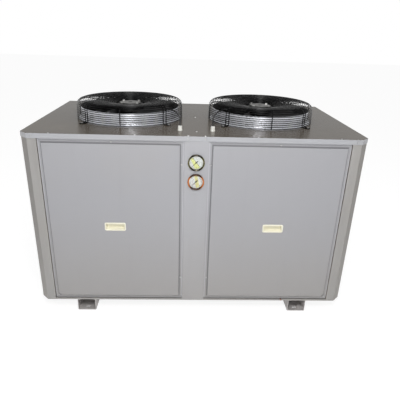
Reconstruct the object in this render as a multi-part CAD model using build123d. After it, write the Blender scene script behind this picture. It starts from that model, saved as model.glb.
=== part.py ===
"""Box-type refrigeration condensing unit with two top fans.

Millimetres. +X right, +Y to the back, +Z up. The origin is the centre of the
footprint, on the floor under the foot rails. The cabinet front looks to -Y.
"""
import os
from math import cos, hypot, pi, radians, sin, sqrt, tan

from build123d import *

# ---------------------------------------------------------------- driving sizes
WIDTH = 1560.0              # roof pan, left to right
CABINET_DEPTH = 868.0       # roof pan, front to back
CABINET_HEIGHT = 867.0      # underside of the base pan to the top of the roof pan
FOOT_HEIGHT = 66.0
CORNER_CHAMFER = 36.0       # 45 degree front corners, leg length
SHEET = 1.5                 # cabinet sheet
LAP_GAP = 0.5               # roof pan skirt to the frame inside it
TOUCH_GAP = 0.3             # between curved or loose faces that seat on each other

# foot rails
FOOT_WIDTH = 92.0
FOOT_FROM_SIDE = 231.0      # roof pan's side to the rail's centre line
FOOT_SHEET = 3.0
FOOT_LIP = 16.0
FOOT_SETBACK = 4.0          # rail ends behind the roof pan's front and rear
SLOT_WIDTH = 12.0
SLOT_LENGTH = 24.0
SLOT_FROM_END = 26.0

# roof pan, base pan and frame
PAN_SKIRT = 23.0            # depth of the roof pan's skirt
BASE_SHEET = 2.0
BASE_LIP = 45.0             # side and rear lips of the base pan
BASE_FRONT_LIP = 9.0

MULLION_WIDTH = 112.0
POST_FRONT = 78.0           # a front corner post seen from the front, cut corner included
REBATE = 10.0               # depth of the seat that a panel rests on
REBATE_WIDTH = 22.0
POST_SIDE = 60.0            # side face of a front corner post
POST_RETURN = 14.0
REAR_POST_WIDTH = 46.0
RAIL_HEIGHT = 55.0
RAIL_FLANGE = 38.0

# access panels and their screws
PANEL_SHEET = 1.2
PANEL_GAP = 1.0             # round the panel's outer edge
PANEL_GROOVE = 17.0         # width of the sunk border that holds the screws
PANEL_TOP_DROP = 2.0        # panel top below the skirt
PANEL_FOOT_RISE = 1.5       # panel foot above the base pan's front lip
PANEL_CORNER_CUT = 14.0     # field corner cut back round the low outer screw
SCREW_HEAD = 5.4
SCREW_HEAD_HEIGHT = 2.8
SCREW_SHANK = 2.4
SCREW_HOLE = 3.2
SCREW_REACH = 18.0

# pull handles
HANDLE_WIDTH = 100.0
HANDLE_HEIGHT = 42.0
HANDLE_HEIGHT_FROM_BASE = 420.0
HANDLE_RIM = 6.0
HANDLE_CORNER = 7.0
HANDLE_PROUD = 2.5
HANDLE_DEPTH = 24.0
HANDLE_WALL = 2.0
HANDLE_LEDGE = 9.0

# pressure gauges
GAUGE_RIM_RADIUS = 38.5
GAUGE_CASE_RADIUS = 33.0
GAUGE_CASE_DEPTH = 30.0
GAUGE_PROUD = 8.0           # rim in front of the roof pan's skirt
GAUGE_DIAL_RADIUS = 30.5
GAUGE_PITCH = 92.0
GAUGE_DROP = 120.0          # upper gauge below the top of the roof pan
GAUGE_WALL = 1.6
GAUGE_STEM_RADIUS = 5.0

# fan rings and wire guards
FAN_PITCH = 684.0           # between the two fan axes
FAN_AXIS_DEPTH = 420.0      # fan axes behind the roof pan's front
RING_RADIUS = 252.0         # outside of the fan ring
RING_SHEET = 1.5
RING_HEIGHT = 58.0
RING_FLANGE = 12.0
ROOF_HOLE_RADIUS = 249.0
GUARD_RADIUS = 269.0        # outside of the wire basket
GUARD_SIDE_HEIGHT = 62.0
GUARD_CREST_HEIGHT = 92.0
GUARD_SHOULDER = 28.0       # radial width of the rounded shoulder
GUARD_CREST_WIDTH = 60.0    # the nearly level part inside the shoulder
GUARD_CREST_FALL = 2.0
GUARD_HUB_HEIGHT = 71.0     # top of the wires where they meet the motor plate
GUARD_HUB_RADIUS = 40.0
WIRE = 3.0                  # ring wire
SPOKE_WIRE = 3.6
GUARD_LEG_ANGLE = 45.0
GUARD_LEG_WIDTH = 18.0      # foot tab
GUARD_FOOT_RADIUS = 295.0   # bolt circle of the feet
GUARD_FOOT_SHEET = 2.5
GUARD_SIDES = 16            # straight lengths in a ring
RING_SIDES = 24             # flat sides of the fan rings and of the roof's fan holes

# motors and blades
MOTOR_PLATE = 104.0
MOTOR_PLATE_SHEET = 4.0
MOTOR_BOLT_RADIUS = 57.0
MOTOR_RADIUS = 68.5
MOTOR_CUP_WALL = 7.0
MOTOR_SHAFT_RADIUS = 8.0
RUNNING_FIT = 0.05          # radial, shaft in its bore
ROTOR_FOOT = 8.0            # rotor above the roof pan
ROTOR_TOP = 58.0
STATOR_FLANGE = 6.0
BLADE_COUNT = 5
BLADE_TIP_RADIUS = 245.0
BLADE_SHEET = 2.5
BLADE_SPANS = 4             # lengths between a blade's sections
BLADE_MID_HEIGHT = 33.0
HUB_BAND_WALL = 3.0

# cable glands and motor cables
GLAND_OFFSET = 76.0         # cable glands left and right of the centre line
GLAND_FROM_FRONT = 112.0
GLAND_RADIUS = 11.0
GLAND_HEIGHT = 23.0
CABLE_RADIUS = 3.5
CABLE_ROUTE = [             # right motor's cable: stator flange, out of the basket, down into the gland
    (286.3, -46.2, 996.4), (240.0, -80.0, 1001.5), (184.0, -115.0, 1004.5), (128.0, -154.0, 1002.0),
    (96.0, -208.0, 996.5), (80.0, -262.0, 988.5), (75.8, -303.0, 981.0), (76.0, -318.3, 966.5),
    (76.0, -318.0, 948.3)]

# condenser coil
COIL_THICKNESS = 66.0
COIL_INSET = 4.0            # coil face behind the frame
COIL_FIN_PITCH = 44.0
COIL_FIN_DEPTH = 9.0
COIL_TOP_GAP = 13.5         # slabs to the roof sheet
TUBE_SHEET = 2.0

# frame and panel details
SILL_FLANGE = 10.0
INNER_SCREW_DROP = 134.0    # upper screw by the mullion, below the top of the roof pan
INNER_SCREW_RISE = 133.0    # lower one above the base pan
LOW_SCREW_INSET = 14.0      # low outer screw from the panel's edges
PANEL_EDGE_BREAK = 0.9
DRAIN_RADIUS = 3.1          # hole in the front lip
DRAIN_FROM_SIDE = 318.0
DRAIN_PROUD = 4.0
DRAIN_LENGTH = 24.0
DRAIN_WALL = 1.0
DRAIN_CLEARANCE = 0.1

# gauge details
GAUGE_GLASS_RADIUS = 33.0
GLASS_BACK = 4.0            # glass in front of the frame's face
GLASS_SHEET = 2.0
GAUGE_STEM = 15.0
SPINDLE_RADIUS = 1.5
GAUGE_FLOOR = -6.0          # inside floor of the case, behind the frame's face
DIAL_FACE = 1.0
POINTER_SHEET = 0.8
POINTER_BOSS = 3.4
POINTER_BACK = 1.6
POINTER_REST = 225.0        # degrees from +X, turning from +X to +Z

# guard rings, feet and bolts
GUARD_LOW_RING = 5.0
GUARD_SIDE_RINGS = 2
GUARD_SHOULDER_RINGS = 1
GUARD_TOP_RINGS = 4
GUARD_TAB_END = 10.0
GUARD_BOLT = 6.0
MOTOR_BOLT = 6.0
MOTOR_EAR = 9.0
MOTOR_CENTRE_HOLE = 10.0

# motor and blade details
STATOR_GAP = 2.0
STATOR_BOSS = 30.0
BAND_HEIGHT = 40.0
BLADE_ROOT_CHORD = 70.0
BLADE_TIP_CHORD = 120.0
BLADE_ROOT_ANGLE = 32.0
BLADE_TIP_ANGLE = 20.0
BLADE_SWEEP_ANGLE = 24.0
BLADE_CAMBER_RATIO = 0.06

# gland details
GLAND_THREAD = 8.0
GLAND_COLLAR = 6.0
GLAND_TAIL = 12.0
GLAND_GRIP = 8.0
GLAND_DOME = 9.5
GLAND_CROWN = 4.0           # height of the dome's bevel
GLAND_NUT = 5.0

# rivets
RIVET_HEAD = 4.5
RIVET_HEIGHT = 1.6
RIVET_SETBACK = 7.0
RIVET_FROM_SIDE = 132.0     # outer rivets of the roof's front edge
RIVET_FROM_FAN = 69.0       # middle ones, inside the fan axes
RIVET_BY_SEAM = 38.0        # inner ones, beside the centre line
SKIRT_RIVET_FROM_SIDE = 58.0
RIVET_MIDDLE = (93.0, 427.0)

# coil headers
HEADER_FROM_SLAB = 68.0     # header axis to the inner face of the side slab
GAS_HEADER = 14.0
LIQUID_HEADER = 10.0
BRANCH_RADIUS = 5.0
HEADER_STANDOFF = 30.0      # header axis in front of the rear slab
HEADER_RISE = 62.0          # headers above the base pan's floor
HEADER_DROP = 51.5          # headers below the roof sheet
HEADER_BRANCHES = 4

# compressor, receiver and accumulator
COMPRESSOR_FROM_SIDE = 478.0
VESSEL_DEPTH = 490.0        # axes of compressor, receiver and accumulator behind the front
COMPRESSOR_RADIUS = 100.0
COMPRESSOR_HEIGHT = 430.0
COMPRESSOR_MOUNT = 25.0
COMPRESSOR_CROWN = 34.0
COMPRESSOR_PLATE = 236.0
COMPRESSOR_PLATE_SHEET = 6.0
COMPRESSOR_PLATE_CORNER = 24.0
MOUNT_OFFSET = 96.0
MOUNT_RADIUS = 17.0
MOUNT_BOLT = 5.0
MOUNT_WAIST = 3.0           # how far the rubber draws in at its middle
MOUNT_NUT = (17.0, 7.0)     # across flats, height
PORT_RISE = 14.0
STUB_WALL = 3.0
TERMINAL_WIDTH = 84.0
TERMINAL_HEIGHT = 110.0
TERMINAL_DEPTH = 40.0
SUCTION_PORT = (45.0, 20.0)
DISCHARGE_PORT = (-45.0, -20.0)
RECEIVER_FROM_SIDE = 448.0
RECEIVER_RADIUS = 95.0
RECEIVER_HEIGHT = 500.0
RECEIVER_FOOT = 30.0
RECEIVER_CROWN = 30.0
ACCUMULATOR_FROM_SIDE = 238.0
ACCUMULATOR_RADIUS = 60.0
ACCUMULATOR_HEIGHT = 330.0
ACCUMULATOR_CROWN = 24.0

# liquid line, drier and sight glass
DRIER_RADIUS = 38.0
DRIER_LENGTH = 150.0
DRIER_NECK = 14.0
DRIER_CONE = 18.0
DRIER_X = -60.0
SIGHT_X = 90.0
SIGHT_LENGTH = 44.0
SIGHT_BODY = 14.0           # corner radius of the hexagon
SIGHT_HEIGHT = 24.0
SIGHT_WINDOW = 8.0
LINE_Y = -180.0
LINE_Z = 200.0
LINE_FROM_SIDE = 118.0      # riser of the liquid line inside the frame's side
LIQUID_LEVEL = 680.0
DISCHARGE_LEVEL = 700.0

# pipes, sockets and bushes
SUCTION_RADIUS = 12.5
SUCTION_SOCKET = 11.1
SUCTION_BEND = 36.0
SUCTION_LOOP = 60.0
LIQUID_RADIUS = 7.5
LIQUID_SOCKET = 6.45
LIQUID_BEND = 24.0
DISCHARGE_RADIUS = 9.5
DISCHARGE_BEND = 32.0
SOCKET_DEPTH = 20.0
SUCTION_RISE = 250.0        # sockets and cable bush above the base pan
LIQUID_RISE = 320.0
CABLE_RISE = 180.0
GROMMET_GROOVE = 4.0
GROMMET_FLANGE = 4.0
GROMMET_RIM = 3.0           # flange beyond the groove's floor
GROMMET_WALL = 9.0
CABLE_BUSH_WALL = 8.0
CABLE_BORE = 12.0

# electrical box
BOX_WIDTH = 300.0
BOX_HEIGHT = 360.0
BOX_DEPTH = 140.0
BOX_LOW = 300.0
BOX_LID_LAP = 18.0
BOX_LID_PROUD = 3.0
BOX_GLAND_RADIUS = 9.0
BOX_GLAND_LENGTH = 14.0

# flat sides of round pieces
PIPE_SIDES = 8              # flat sides of the pipes
LATHE_SIDES = 18            # flat sides of the turned vessels and gauges
SMALL_SIDES = 8             # flat sides of small turned pieces

# ---------------------------------------------------------------- derived places
Y_FRONT = -(CABINET_DEPTH + GAUGE_PROUD) / 2 + GAUGE_PROUD   # roof pan's front face
Y_REAR = Y_FRONT + CABINET_DEPTH
FRAME_INSET = SHEET + LAP_GAP
Y_FRAME = Y_FRONT + FRAME_INSET                              # face of posts and panels
Y_FRAME_REAR = Y_REAR - FRAME_INSET
X_FRAME = WIDTH / 2 - FRAME_INSET
Z_BASE = FOOT_HEIGHT
Z_DECK = Z_BASE + BASE_SHEET                                 # upper face of the base pan
Z_ROOF = Z_BASE + CABINET_HEIGHT
Z_UNDER_ROOF = Z_ROOF - SHEET
Y_SEAT = Y_FRAME + REBATE                                    # face that a panel seats on
FAN_Y = Y_FRONT + FAN_AXIS_DEPTH
FAN_X = FAN_PITCH / 2
PANEL_OUTER_EDGE = WIDTH / 2 - POST_FRONT                     # inner edge of the corner posts
PANEL_X0 = MULLION_WIDTH / 2 + PANEL_GAP
PANEL_X1 = PANEL_OUTER_EDGE - PANEL_GAP
PANEL_Z0 = Z_BASE + BASE_FRONT_LIP + PANEL_FOOT_RISE
PANEL_Z1 = Z_ROOF - PAN_SKIRT - PANEL_TOP_DROP
HANDLE_X = (PANEL_X0 + PANEL_X1) / 2
HANDLE_Z = Z_BASE + HANDLE_HEIGHT_FROM_BASE
GAUGE_HIGH_Z = Z_ROOF - GAUGE_DROP
GAUGE_LOW_Z = GAUGE_HIGH_Z - GAUGE_PITCH
TOP_SCREW_Z = PANEL_Z1 - PANEL_GROOVE / 2
MOTOR_PLATE_Z = Z_ROOF + GUARD_HUB_HEIGHT
DRAIN_X = WIDTH / 2 - DRAIN_FROM_SIDE
DRAIN_Z = Z_DECK + DRAIN_RADIUS + DRAIN_CLEARANCE
SOCKET_Y = Y_FRAME + CORNER_CHAMFER + POST_SIDE / 2
SOCKET_END = WIDTH / 2 - TOUCH_GAP
SUCTION_Z = Z_BASE + SUCTION_RISE
LIQUID_Z = Z_BASE + LIQUID_RISE
CABLE_Z = Z_BASE + CABLE_RISE
SUCTION_GROMMET = SUCTION_RADIUS + GROMMET_WALL
LIQUID_GROMMET = LIQUID_RADIUS + GROMMET_WALL
CABLE_WAY = CABLE_BORE + CABLE_BUSH_WALL
COIL_HEIGHT = Z_UNDER_ROOF - COIL_TOP_GAP - Z_DECK
HEADER_LOW = Z_DECK + HEADER_RISE
HEADER_HIGH = Z_UNDER_ROOF - HEADER_DROP
SLAB_INSIDE = X_FRAME - COIL_INSET - COIL_THICKNESS          # inner face of the side slabs
HEADER_X = SLAB_INSIDE - HEADER_FROM_SLAB
LINE_TURN_X = X_FRAME - LINE_FROM_SIDE
VESSEL_Y = Y_FRONT + VESSEL_DEPTH
COMPRESSOR_AT = (X_FRAME - COMPRESSOR_FROM_SIDE, VESSEL_Y)
RECEIVER_AT = (RECEIVER_FROM_SIDE - X_FRAME, VESSEL_Y)
ACCUMULATOR_AT = (X_FRAME - ACCUMULATOR_FROM_SIDE, VESSEL_Y)


# ---------------------------------------------------------------- small helpers
def block(x0, x1, y0, y1, z0, z1):
    """A box between two corners."""
    size = (x1 - x0, y1 - y0, z1 - z0)
    return Pos((x0 + x1) / 2, (y0 + y1) / 2, (z0 + z1) / 2) * Box(*size)


def upright(radius, z0, z1, x=0.0, y=0.0):
    """A vertical round bar."""
    return Pos(x, y, (z0 + z1) / 2) * Cylinder(radius, z1 - z0)


def polygon(points):
    """A flat face in XY through the points, in order."""
    return make_face(Polyline(*points, close=True))


def raise_face(face, z0, z1):
    """A face in XY carried straight up from z0 to z1."""
    return Pos(0, 0, z0) * extrude(face, amount=z1 - z0, dir=(0, 0, 1))


def set_off(points, distance):
    """A path set off to its right by the distance, with mitred corners."""
    def right_of(a, b):
        length = hypot(b[0] - a[0], b[1] - a[1])
        return (b[1] - a[1]) / length, -(b[0] - a[0]) / length
    normals = [right_of(a, b) for a, b in zip(points, points[1:])]
    edge = []
    for i, point in enumerate(points):
        before = normals[max(i - 1, 0)]
        after = normals[min(i, len(normals) - 1)]
        lean = 1 + before[0] * after[0] + before[1] * after[1]
        edge.append((point[0] + distance * (before[0] + after[0]) / lean,
                     point[1] + distance * (before[1] + after[1]) / lean))
    return edge


def folded(points, sheet):
    """The section of a folded sheet: a path along one face, and its copy to the right."""
    return polygon(list(points) + set_off(points, sheet)[::-1])


def bent_bar(points, thickness):
    """The section of a bent bar whose middle follows the path."""
    return polygon(set_off(points, -thickness / 2) + set_off(points, thickness / 2)[::-1])


def mirrored(shape):
    """The same piece on the other side of the centre line."""
    return mirror(shape, about=Plane.YZ)


def hexagon_bolt(across, height, shank, reach):
    """A hexagon head standing on z = 0, with its shank below."""
    head = extrude(RegularPolygon(across / sqrt(3), 6), amount=height)
    if reach <= 0:
        return head
    return head + Pos(0, 0, -reach) * extrude(RegularPolygon(shank, 6), amount=reach)


def pan_screw(reach=SCREW_REACH):
    """A pan head standing on z = 0, with its shank below."""
    head = extrude(RegularPolygon(SCREW_HEAD, 6), amount=SCREW_HEAD_HEIGHT, taper=18)
    return head + Pos(0, 0, -reach) * extrude(RegularPolygon(SCREW_SHANK, 6), amount=reach)


def cabinet_outline(inset):
    """The cabinet's plan, with its two cut front corners, set in all round by inset."""
    half = WIDTH / 2 - inset
    front, rear = Y_FRONT + inset, Y_REAR - inset
    cut = CORNER_CHAMFER - inset * (2 - sqrt(2))
    return polygon([(-half + cut, front), (half - cut, front), (half, front + cut), (half, rear),
                    (-half, rear), (-half, front + cut)])


def turned(profile, sides):
    """A closed radius-height profile turned round Z in flat sides, its corners on the profile's radii."""
    ring = [(cos(2 * pi * i / sides), sin(2 * pi * i / sides)) for i in range(sides)]
    faces = []
    for (r0, z0), (r1, z1) in zip(profile, profile[1:] + profile[:1]):
        for (c0, s0), (c1, s1) in zip(ring, ring[1:] + ring[:1]):
            lower, upper = [(r0 * c0, r0 * s0, z0)], [(r1 * c1, r1 * s1, z1)]
            if r0 > 0:
                upper.append((r0 * c1, r0 * s1, z0))
            if r1 > 0:
                lower.append((r1 * c0, r1 * s0, z1))
            if len(lower) + len(upper) > 2:
                corners = [Vector(*corner) for corner in lower + upper]
                faces.append(Face(Wire.make_polygon(corners, close=True)))
    return Solid(Shell(faces))


def skinned(loops):
    """A solid of flat triangles over loops of points that run along one skin and back along the other.

    Both skins are split along the same diagonals, so that a twisted sheet keeps its thickness.
    """
    faces = [Face(Wire.make_polygon(loop, close=True)) for loop in (loops[0], loops[-1])]
    count = len(loops[0])
    for one, two in zip(loops, loops[1:]):
        for i in range(count):
            j = (i + 1) % count
            if i < count / 2:
                halves = (one[i], one[j], two[j]), (one[i], two[j], two[i])
            else:
                halves = (one[i], one[j], two[i]), (one[j], two[j], two[i])
            faces += [Face(Wire.make_polygon(corners, close=True)) for corners in halves]
    return Solid(Shell(faces))


def hole(radius, depth):
    """A small hole's cutter, eight-sided, its flats on the radius, centred on z = 0."""
    return extrude(RegularPolygon(radius, 8, major_radius=False), amount=depth / 2, both=True)


def hole_y(radius, y, x, z):
    """The cutter of a small hole through a sheet that stands across Y."""
    return Pos(x, y, z) * Rot(90, 0, 0) * hole(radius, 8 * SHEET)


def bent_path(points, bend, steps=2):
    """The points with each corner taken round an arc in equal steps."""
    path = [Vector(*points[0])]
    for before, corner, after in zip(points, points[1:], points[2:]):
        corner = Vector(*corner)
        back, on = (Vector(*before) - corner).normalized(), (Vector(*after) - corner).normalized()
        turn = 180 - back.get_angle(on)
        start = corner + back * (bend * tan(radians(turn / 2)))
        centre = corner + (back + on).normalized() * (bend / cos(radians(turn / 2)))
        axle = Axis((0, 0, 0), tuple(on.cross(back)))
        path += [centre + (start - centre).rotate(axle, turn * i / steps) for i in range(steps + 1)]
    return path + [Vector(*points[-1])]


def pipe(points, radius, bend=0.0):
    """An eight-sided bar on straight runs, its bends made of short mitred lengths."""
    path = bent_path(points, bend) if bend else [Vector(*point) for point in points]
    start = Plane(origin=path[0], z_dir=path[1] - path[0])
    section = start * RegularPolygon(radius, PIPE_SIDES)
    return sweep(section, path=Polyline(*path), transition=Transition.RIGHT)


# ---------------------------------------------------------------- base and frame
def foot_rail(side):
    """A lipped channel on the floor, open upwards, with a fixing slot near each end."""
    half, lip = FOOT_WIDTH / 2, FOOT_LIP
    path = [(half - lip, FOOT_HEIGHT), (half, FOOT_HEIGHT), (half, 0), (-half, 0),
            (-half, FOOT_HEIGHT), (-half + lip, FOOT_HEIGHT)]
    y0, y1 = Y_FRONT + FOOT_SETBACK, Y_REAR - FOOT_SETBACK
    section = Plane.XZ * folded(path, FOOT_SHEET)
    rail = Pos(0, y1, 0) * extrude(section, amount=y1 - y0, dir=(0, -1, 0))
    slot = extrude(SlotOverall(SLOT_LENGTH, SLOT_WIDTH), amount=FOOT_SHEET)
    for y in (y0 + SLOT_FROM_END, y1 - SLOT_FROM_END):
        rail -= Pos(0, y, 0) * slot
    return Pos(side * (WIDTH / 2 - FOOT_FROM_SIDE), 0, 0) * rail


def base_pan():
    """Floor sheet with side and rear lips between the posts and a low lip under each panel."""
    pan = raise_face(cabinet_outline(FRAME_INSET), Z_BASE, Z_DECK)
    wall = raise_face(cabinet_outline(FRAME_INSET), Z_DECK, Z_DECK + BASE_LIP)
    wall -= raise_face(cabinet_outline(FRAME_INSET + SHEET), Z_DECK, Z_DECK + BASE_LIP)
    side_y0 = Y_FRAME + post_cut() + POST_SIDE + TOUCH_GAP
    side_y1 = Y_FRAME_REAR - REAR_POST_WIDTH - TOUCH_GAP
    rear_x = X_FRAME - REAR_POST_WIDTH - TOUCH_GAP
    lips = wall & (block(-WIDTH, WIDTH, side_y0, side_y1, 0, Z_ROOF)
                   + block(-rear_x, rear_x, 0, Y_REAR, 0, Z_ROOF))
    for x0, x1 in ((-PANEL_OUTER_EDGE, -MULLION_WIDTH / 2), (MULLION_WIDTH / 2, PANEL_OUTER_EDGE)):
        lips += block(x0 + TOUCH_GAP, x1 - TOUCH_GAP, Y_FRAME, Y_FRAME + SHEET,
                      Z_DECK, Z_BASE + BASE_FRONT_LIP)
    pan += lips
    return pan - hole_y(DRAIN_RADIUS, Y_FRAME, DRAIN_X, DRAIN_Z)


def post_cut():
    """Leg of the cut corner, measured on the frame's outer faces."""
    return CORNER_CHAMFER - FRAME_INSET * (2 - sqrt(2))


def front_post():
    """Left front corner post: panel seat, front face, cut corner, side face and return."""
    cut = post_cut()
    edge = PANEL_OUTER_EDGE
    path = [(-edge + REBATE_WIDTH, Y_SEAT), (-edge, Y_SEAT), (-edge, Y_FRAME),
            (-X_FRAME + cut, Y_FRAME), (-X_FRAME, Y_FRAME + cut),
            (-X_FRAME, Y_FRAME + cut + POST_SIDE),
            (-X_FRAME + POST_RETURN, Y_FRAME + cut + POST_SIDE)]
    post = raise_face(folded(path, SHEET), Z_DECK, Z_UNDER_ROOF)
    for x, z in panel_screw_places():
        if x > PANEL_X1 - PANEL_GROOVE:
            post -= hole_y(SCREW_HOLE, Y_SEAT, -x, z)
    return post


def front_post_right():
    """Right front corner post, with the pipe sockets' and the cable's ways out in its side."""
    post = mirrored(front_post())
    for radius, z in ((SUCTION_GROMMET, SUCTION_Z), (LIQUID_GROMMET, LIQUID_Z), (CABLE_WAY, CABLE_Z)):
        cutter = extrude(RegularPolygon(radius - GROMMET_GROOVE, SMALL_SIDES), amount=3 * SHEET, both=True)
        post -= Pos(X_FRAME, SOCKET_Y, z) * Rot(0, 90, 0) * cutter
    return post


def rear_post():
    """Left rear corner post, a plain angle."""
    w, x, y = REAR_POST_WIDTH, -X_FRAME, Y_FRAME_REAR
    path = [(x, y - w), (x, y), (x + w, y)]
    return raise_face(folded(path, SHEET), Z_DECK, Z_UNDER_ROOF)


def centre_mullion():
    """Hat section between the panels, with a hole for each gauge."""
    half = MULLION_WIDTH / 2
    path = [(half + REBATE_WIDTH, Y_SEAT), (half, Y_SEAT), (half, Y_FRAME),
            (-half, Y_FRAME), (-half, Y_SEAT), (-half - REBATE_WIDTH, Y_SEAT)]
    mullion = raise_face(folded(path, SHEET), Z_DECK, Z_UNDER_ROOF)
    for z in (GAUGE_LOW_Z, GAUGE_HIGH_Z):
        outline = RegularPolygon(GAUGE_CASE_RADIUS + TOUCH_GAP, LATHE_SIDES)
        seat = extrude(outline, amount=2 * SHEET, both=True)
        mullion -= Pos(0, Y_FRAME, z) * Rot(90, 0, 0) * seat
    for x, z in panel_screw_places():
        if x < PANEL_X0 + PANEL_GROOVE:
            for sign in (-1, 1):
                mullion -= hole_y(SCREW_HOLE, Y_SEAT, sign * x, z)
    return mullion


def front_top_rail():
    """Angle behind the posts and the mullion that the panels' top edges seat on."""
    y = Y_SEAT + SHEET
    foot = PANEL_Z1 - REBATE_WIDTH
    path = [(y + RAIL_FLANGE, Z_UNDER_ROOF), (y, Z_UNDER_ROOF), (y, foot)]
    half = PANEL_OUTER_EDGE - REBATE_WIDTH / 2
    rail = Pos(-half, 0, 0) * extrude(Plane.YZ * folded(path[::-1], SHEET), amount=2 * half, dir=(1, 0, 0))
    for sign in (-1, 1):
        rail -= hole_y(SCREW_HOLE, y, sign * HANDLE_X, TOP_SCREW_Z)
    return rail


def front_sill():
    """Angle on the base pan that the panels' lower edges seat on."""
    y = Y_SEAT + SHEET
    path = [(y, Z_DECK + REBATE_WIDTH), (y, Z_DECK), (y + SILL_FLANGE, Z_DECK)]
    half = PANEL_OUTER_EDGE - REBATE_WIDTH / 2
    section = Plane.YZ * folded(path[::-1], SHEET)
    sill = Pos(-half, 0, 0) * extrude(section, amount=2 * half, dir=(1, 0, 0))
    for sign in (-1, 1):
        x, z = sign * (PANEL_X1 - LOW_SCREW_INSET), PANEL_Z0 + LOW_SCREW_INSET
        sill -= hole_y(SCREW_HOLE, y, x, z)
    sill -= block(DRAIN_X - DRAIN_RADIUS, DRAIN_X + DRAIN_RADIUS, y - SHEET, y + 2 * SILL_FLANGE,
                  Z_DECK, DRAIN_Z + DRAIN_RADIUS)
    return sill


def side_top_rail():
    """Left top angle between the posts."""
    x = -X_FRAME
    path = [(x, Z_UNDER_ROOF - RAIL_HEIGHT), (x, Z_UNDER_ROOF), (x + RAIL_FLANGE, Z_UNDER_ROOF)]
    y0 = Y_FRAME + post_cut() + POST_SIDE + TOUCH_GAP
    y1 = Y_FRAME_REAR - REAR_POST_WIDTH - TOUCH_GAP
    section = Plane.XZ * folded(path, SHEET)
    return Pos(0, y1, 0) * extrude(section, amount=y1 - y0, dir=(0, -1, 0))


def rear_top_rail():
    """Rear top angle between the rear posts."""
    y = Y_FRAME_REAR
    path = [(y, Z_UNDER_ROOF - RAIL_HEIGHT), (y, Z_UNDER_ROOF), (y - RAIL_FLANGE, Z_UNDER_ROOF)]
    half = X_FRAME - REAR_POST_WIDTH - TOUCH_GAP
    section = Plane.YZ * folded(path[::-1], SHEET)
    return Pos(-half, 0, 0) * extrude(section, amount=2 * half, dir=(1, 0, 0))


def roof_pan():
    """Flat sheet with a turned-down skirt, two fan holes and two gland holes."""
    pan = raise_face(cabinet_outline(0), Z_ROOF - PAN_SKIRT, Z_ROOF)
    pan -= raise_face(cabinet_outline(SHEET), Z_ROOF - PAN_SKIRT, Z_UNDER_ROOF)
    for sign in (-1, 1):
        fan_hole = RegularPolygon(ROOF_HOLE_RADIUS, RING_SIDES, major_radius=False)
        pan -= Pos(sign * FAN_X, FAN_Y, Z_ROOF) * extrude(fan_hole, amount=2 * SHEET, both=True)
        pan -= (Pos(sign * GLAND_OFFSET, Y_FRONT + GLAND_FROM_FRONT, Z_ROOF)
                * hole(GLAND_THREAD + TOUCH_GAP, 4 * SHEET))
        for i in range(4):
            turn = Pos(sign * FAN_X, FAN_Y, Z_ROOF) * Rot(0, 0, GUARD_LEG_ANGLE + 90 * i)
            pan -= turn * Pos(GUARD_FOOT_RADIUS, 0) * hole(GUARD_BOLT / 2 + TOUCH_GAP, 4 * SHEET)
    return pan


# ---------------------------------------------------------------- panels
def panel_screw_places():
    """Screw centres of the right panel, as x and z: two by the mullion, one above, one low outside."""
    groove = PANEL_GROOVE / 2
    return [(PANEL_X0 + groove, Z_ROOF - INNER_SCREW_DROP), (PANEL_X0 + groove, Z_BASE + INNER_SCREW_RISE),
            (HANDLE_X, TOP_SCREW_Z), (PANEL_X1 - LOW_SCREW_INSET, PANEL_Z0 + LOW_SCREW_INSET)]


def access_panel():
    """Right panel: a tray pressed forward from a sunk border, with a hole for the handle cup."""
    back = Y_SEAT - TOUCH_GAP
    flange = block(PANEL_X0, PANEL_X1, back - PANEL_SHEET, back, PANEL_Z0, PANEL_Z1)
    x0, x1 = PANEL_X0 + PANEL_GROOVE, PANEL_X1 - PANEL_GROOVE
    z0, z1 = PANEL_Z0 + PANEL_GROOVE, PANEL_Z1 - PANEL_GROOVE

    def field(inset, y0, y1):
        cut = PANEL_CORNER_CUT - inset * (2 - sqrt(2))
        face = polygon([(x0 + inset, z0 + inset), (x1 - inset - cut, z0 + inset),
                        (x1 - inset, z0 + inset + cut), (x1 - inset, z1 - inset), (x0 + inset, z1 - inset)])
        return Pos(0, y1, 0) * extrude(Plane.XZ * face, amount=y1 - y0, dir=(0, -1, 0))
    panel = flange + field(0, Y_FRAME, back)
    panel -= field(PANEL_SHEET, Y_FRAME + PANEL_SHEET, back + 1)
    front_edges = panel.faces().sort_by(Axis.Y)[0].outer_wire().edges()
    panel = chamfer(front_edges, PANEL_EDGE_BREAK)
    hole_x = HANDLE_WIDTH / 2 - HANDLE_RIM + TOUCH_GAP
    hole_z = HANDLE_HEIGHT / 2 - HANDLE_RIM + TOUCH_GAP
    panel -= block(HANDLE_X - hole_x, HANDLE_X + hole_x, Y_FRAME - 1, Y_SEAT,
                   HANDLE_Z - hole_z, HANDLE_Z + hole_z)
    for x, z in panel_screw_places():
        panel -= Pos(x, back, z) * Rot(90, 0, 0) * hole(SCREW_SHANK + TOUCH_GAP, 3 * PANEL_SHEET)
    return panel


def panel_screws():
    """The four captive screws of the right panel, heads in its sunk border."""
    seat = Y_SEAT - TOUCH_GAP - PANEL_SHEET
    return [Pos(x, seat, z) * Rot(90, 0, 0) * pan_screw() for x, z in panel_screw_places()]


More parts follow.
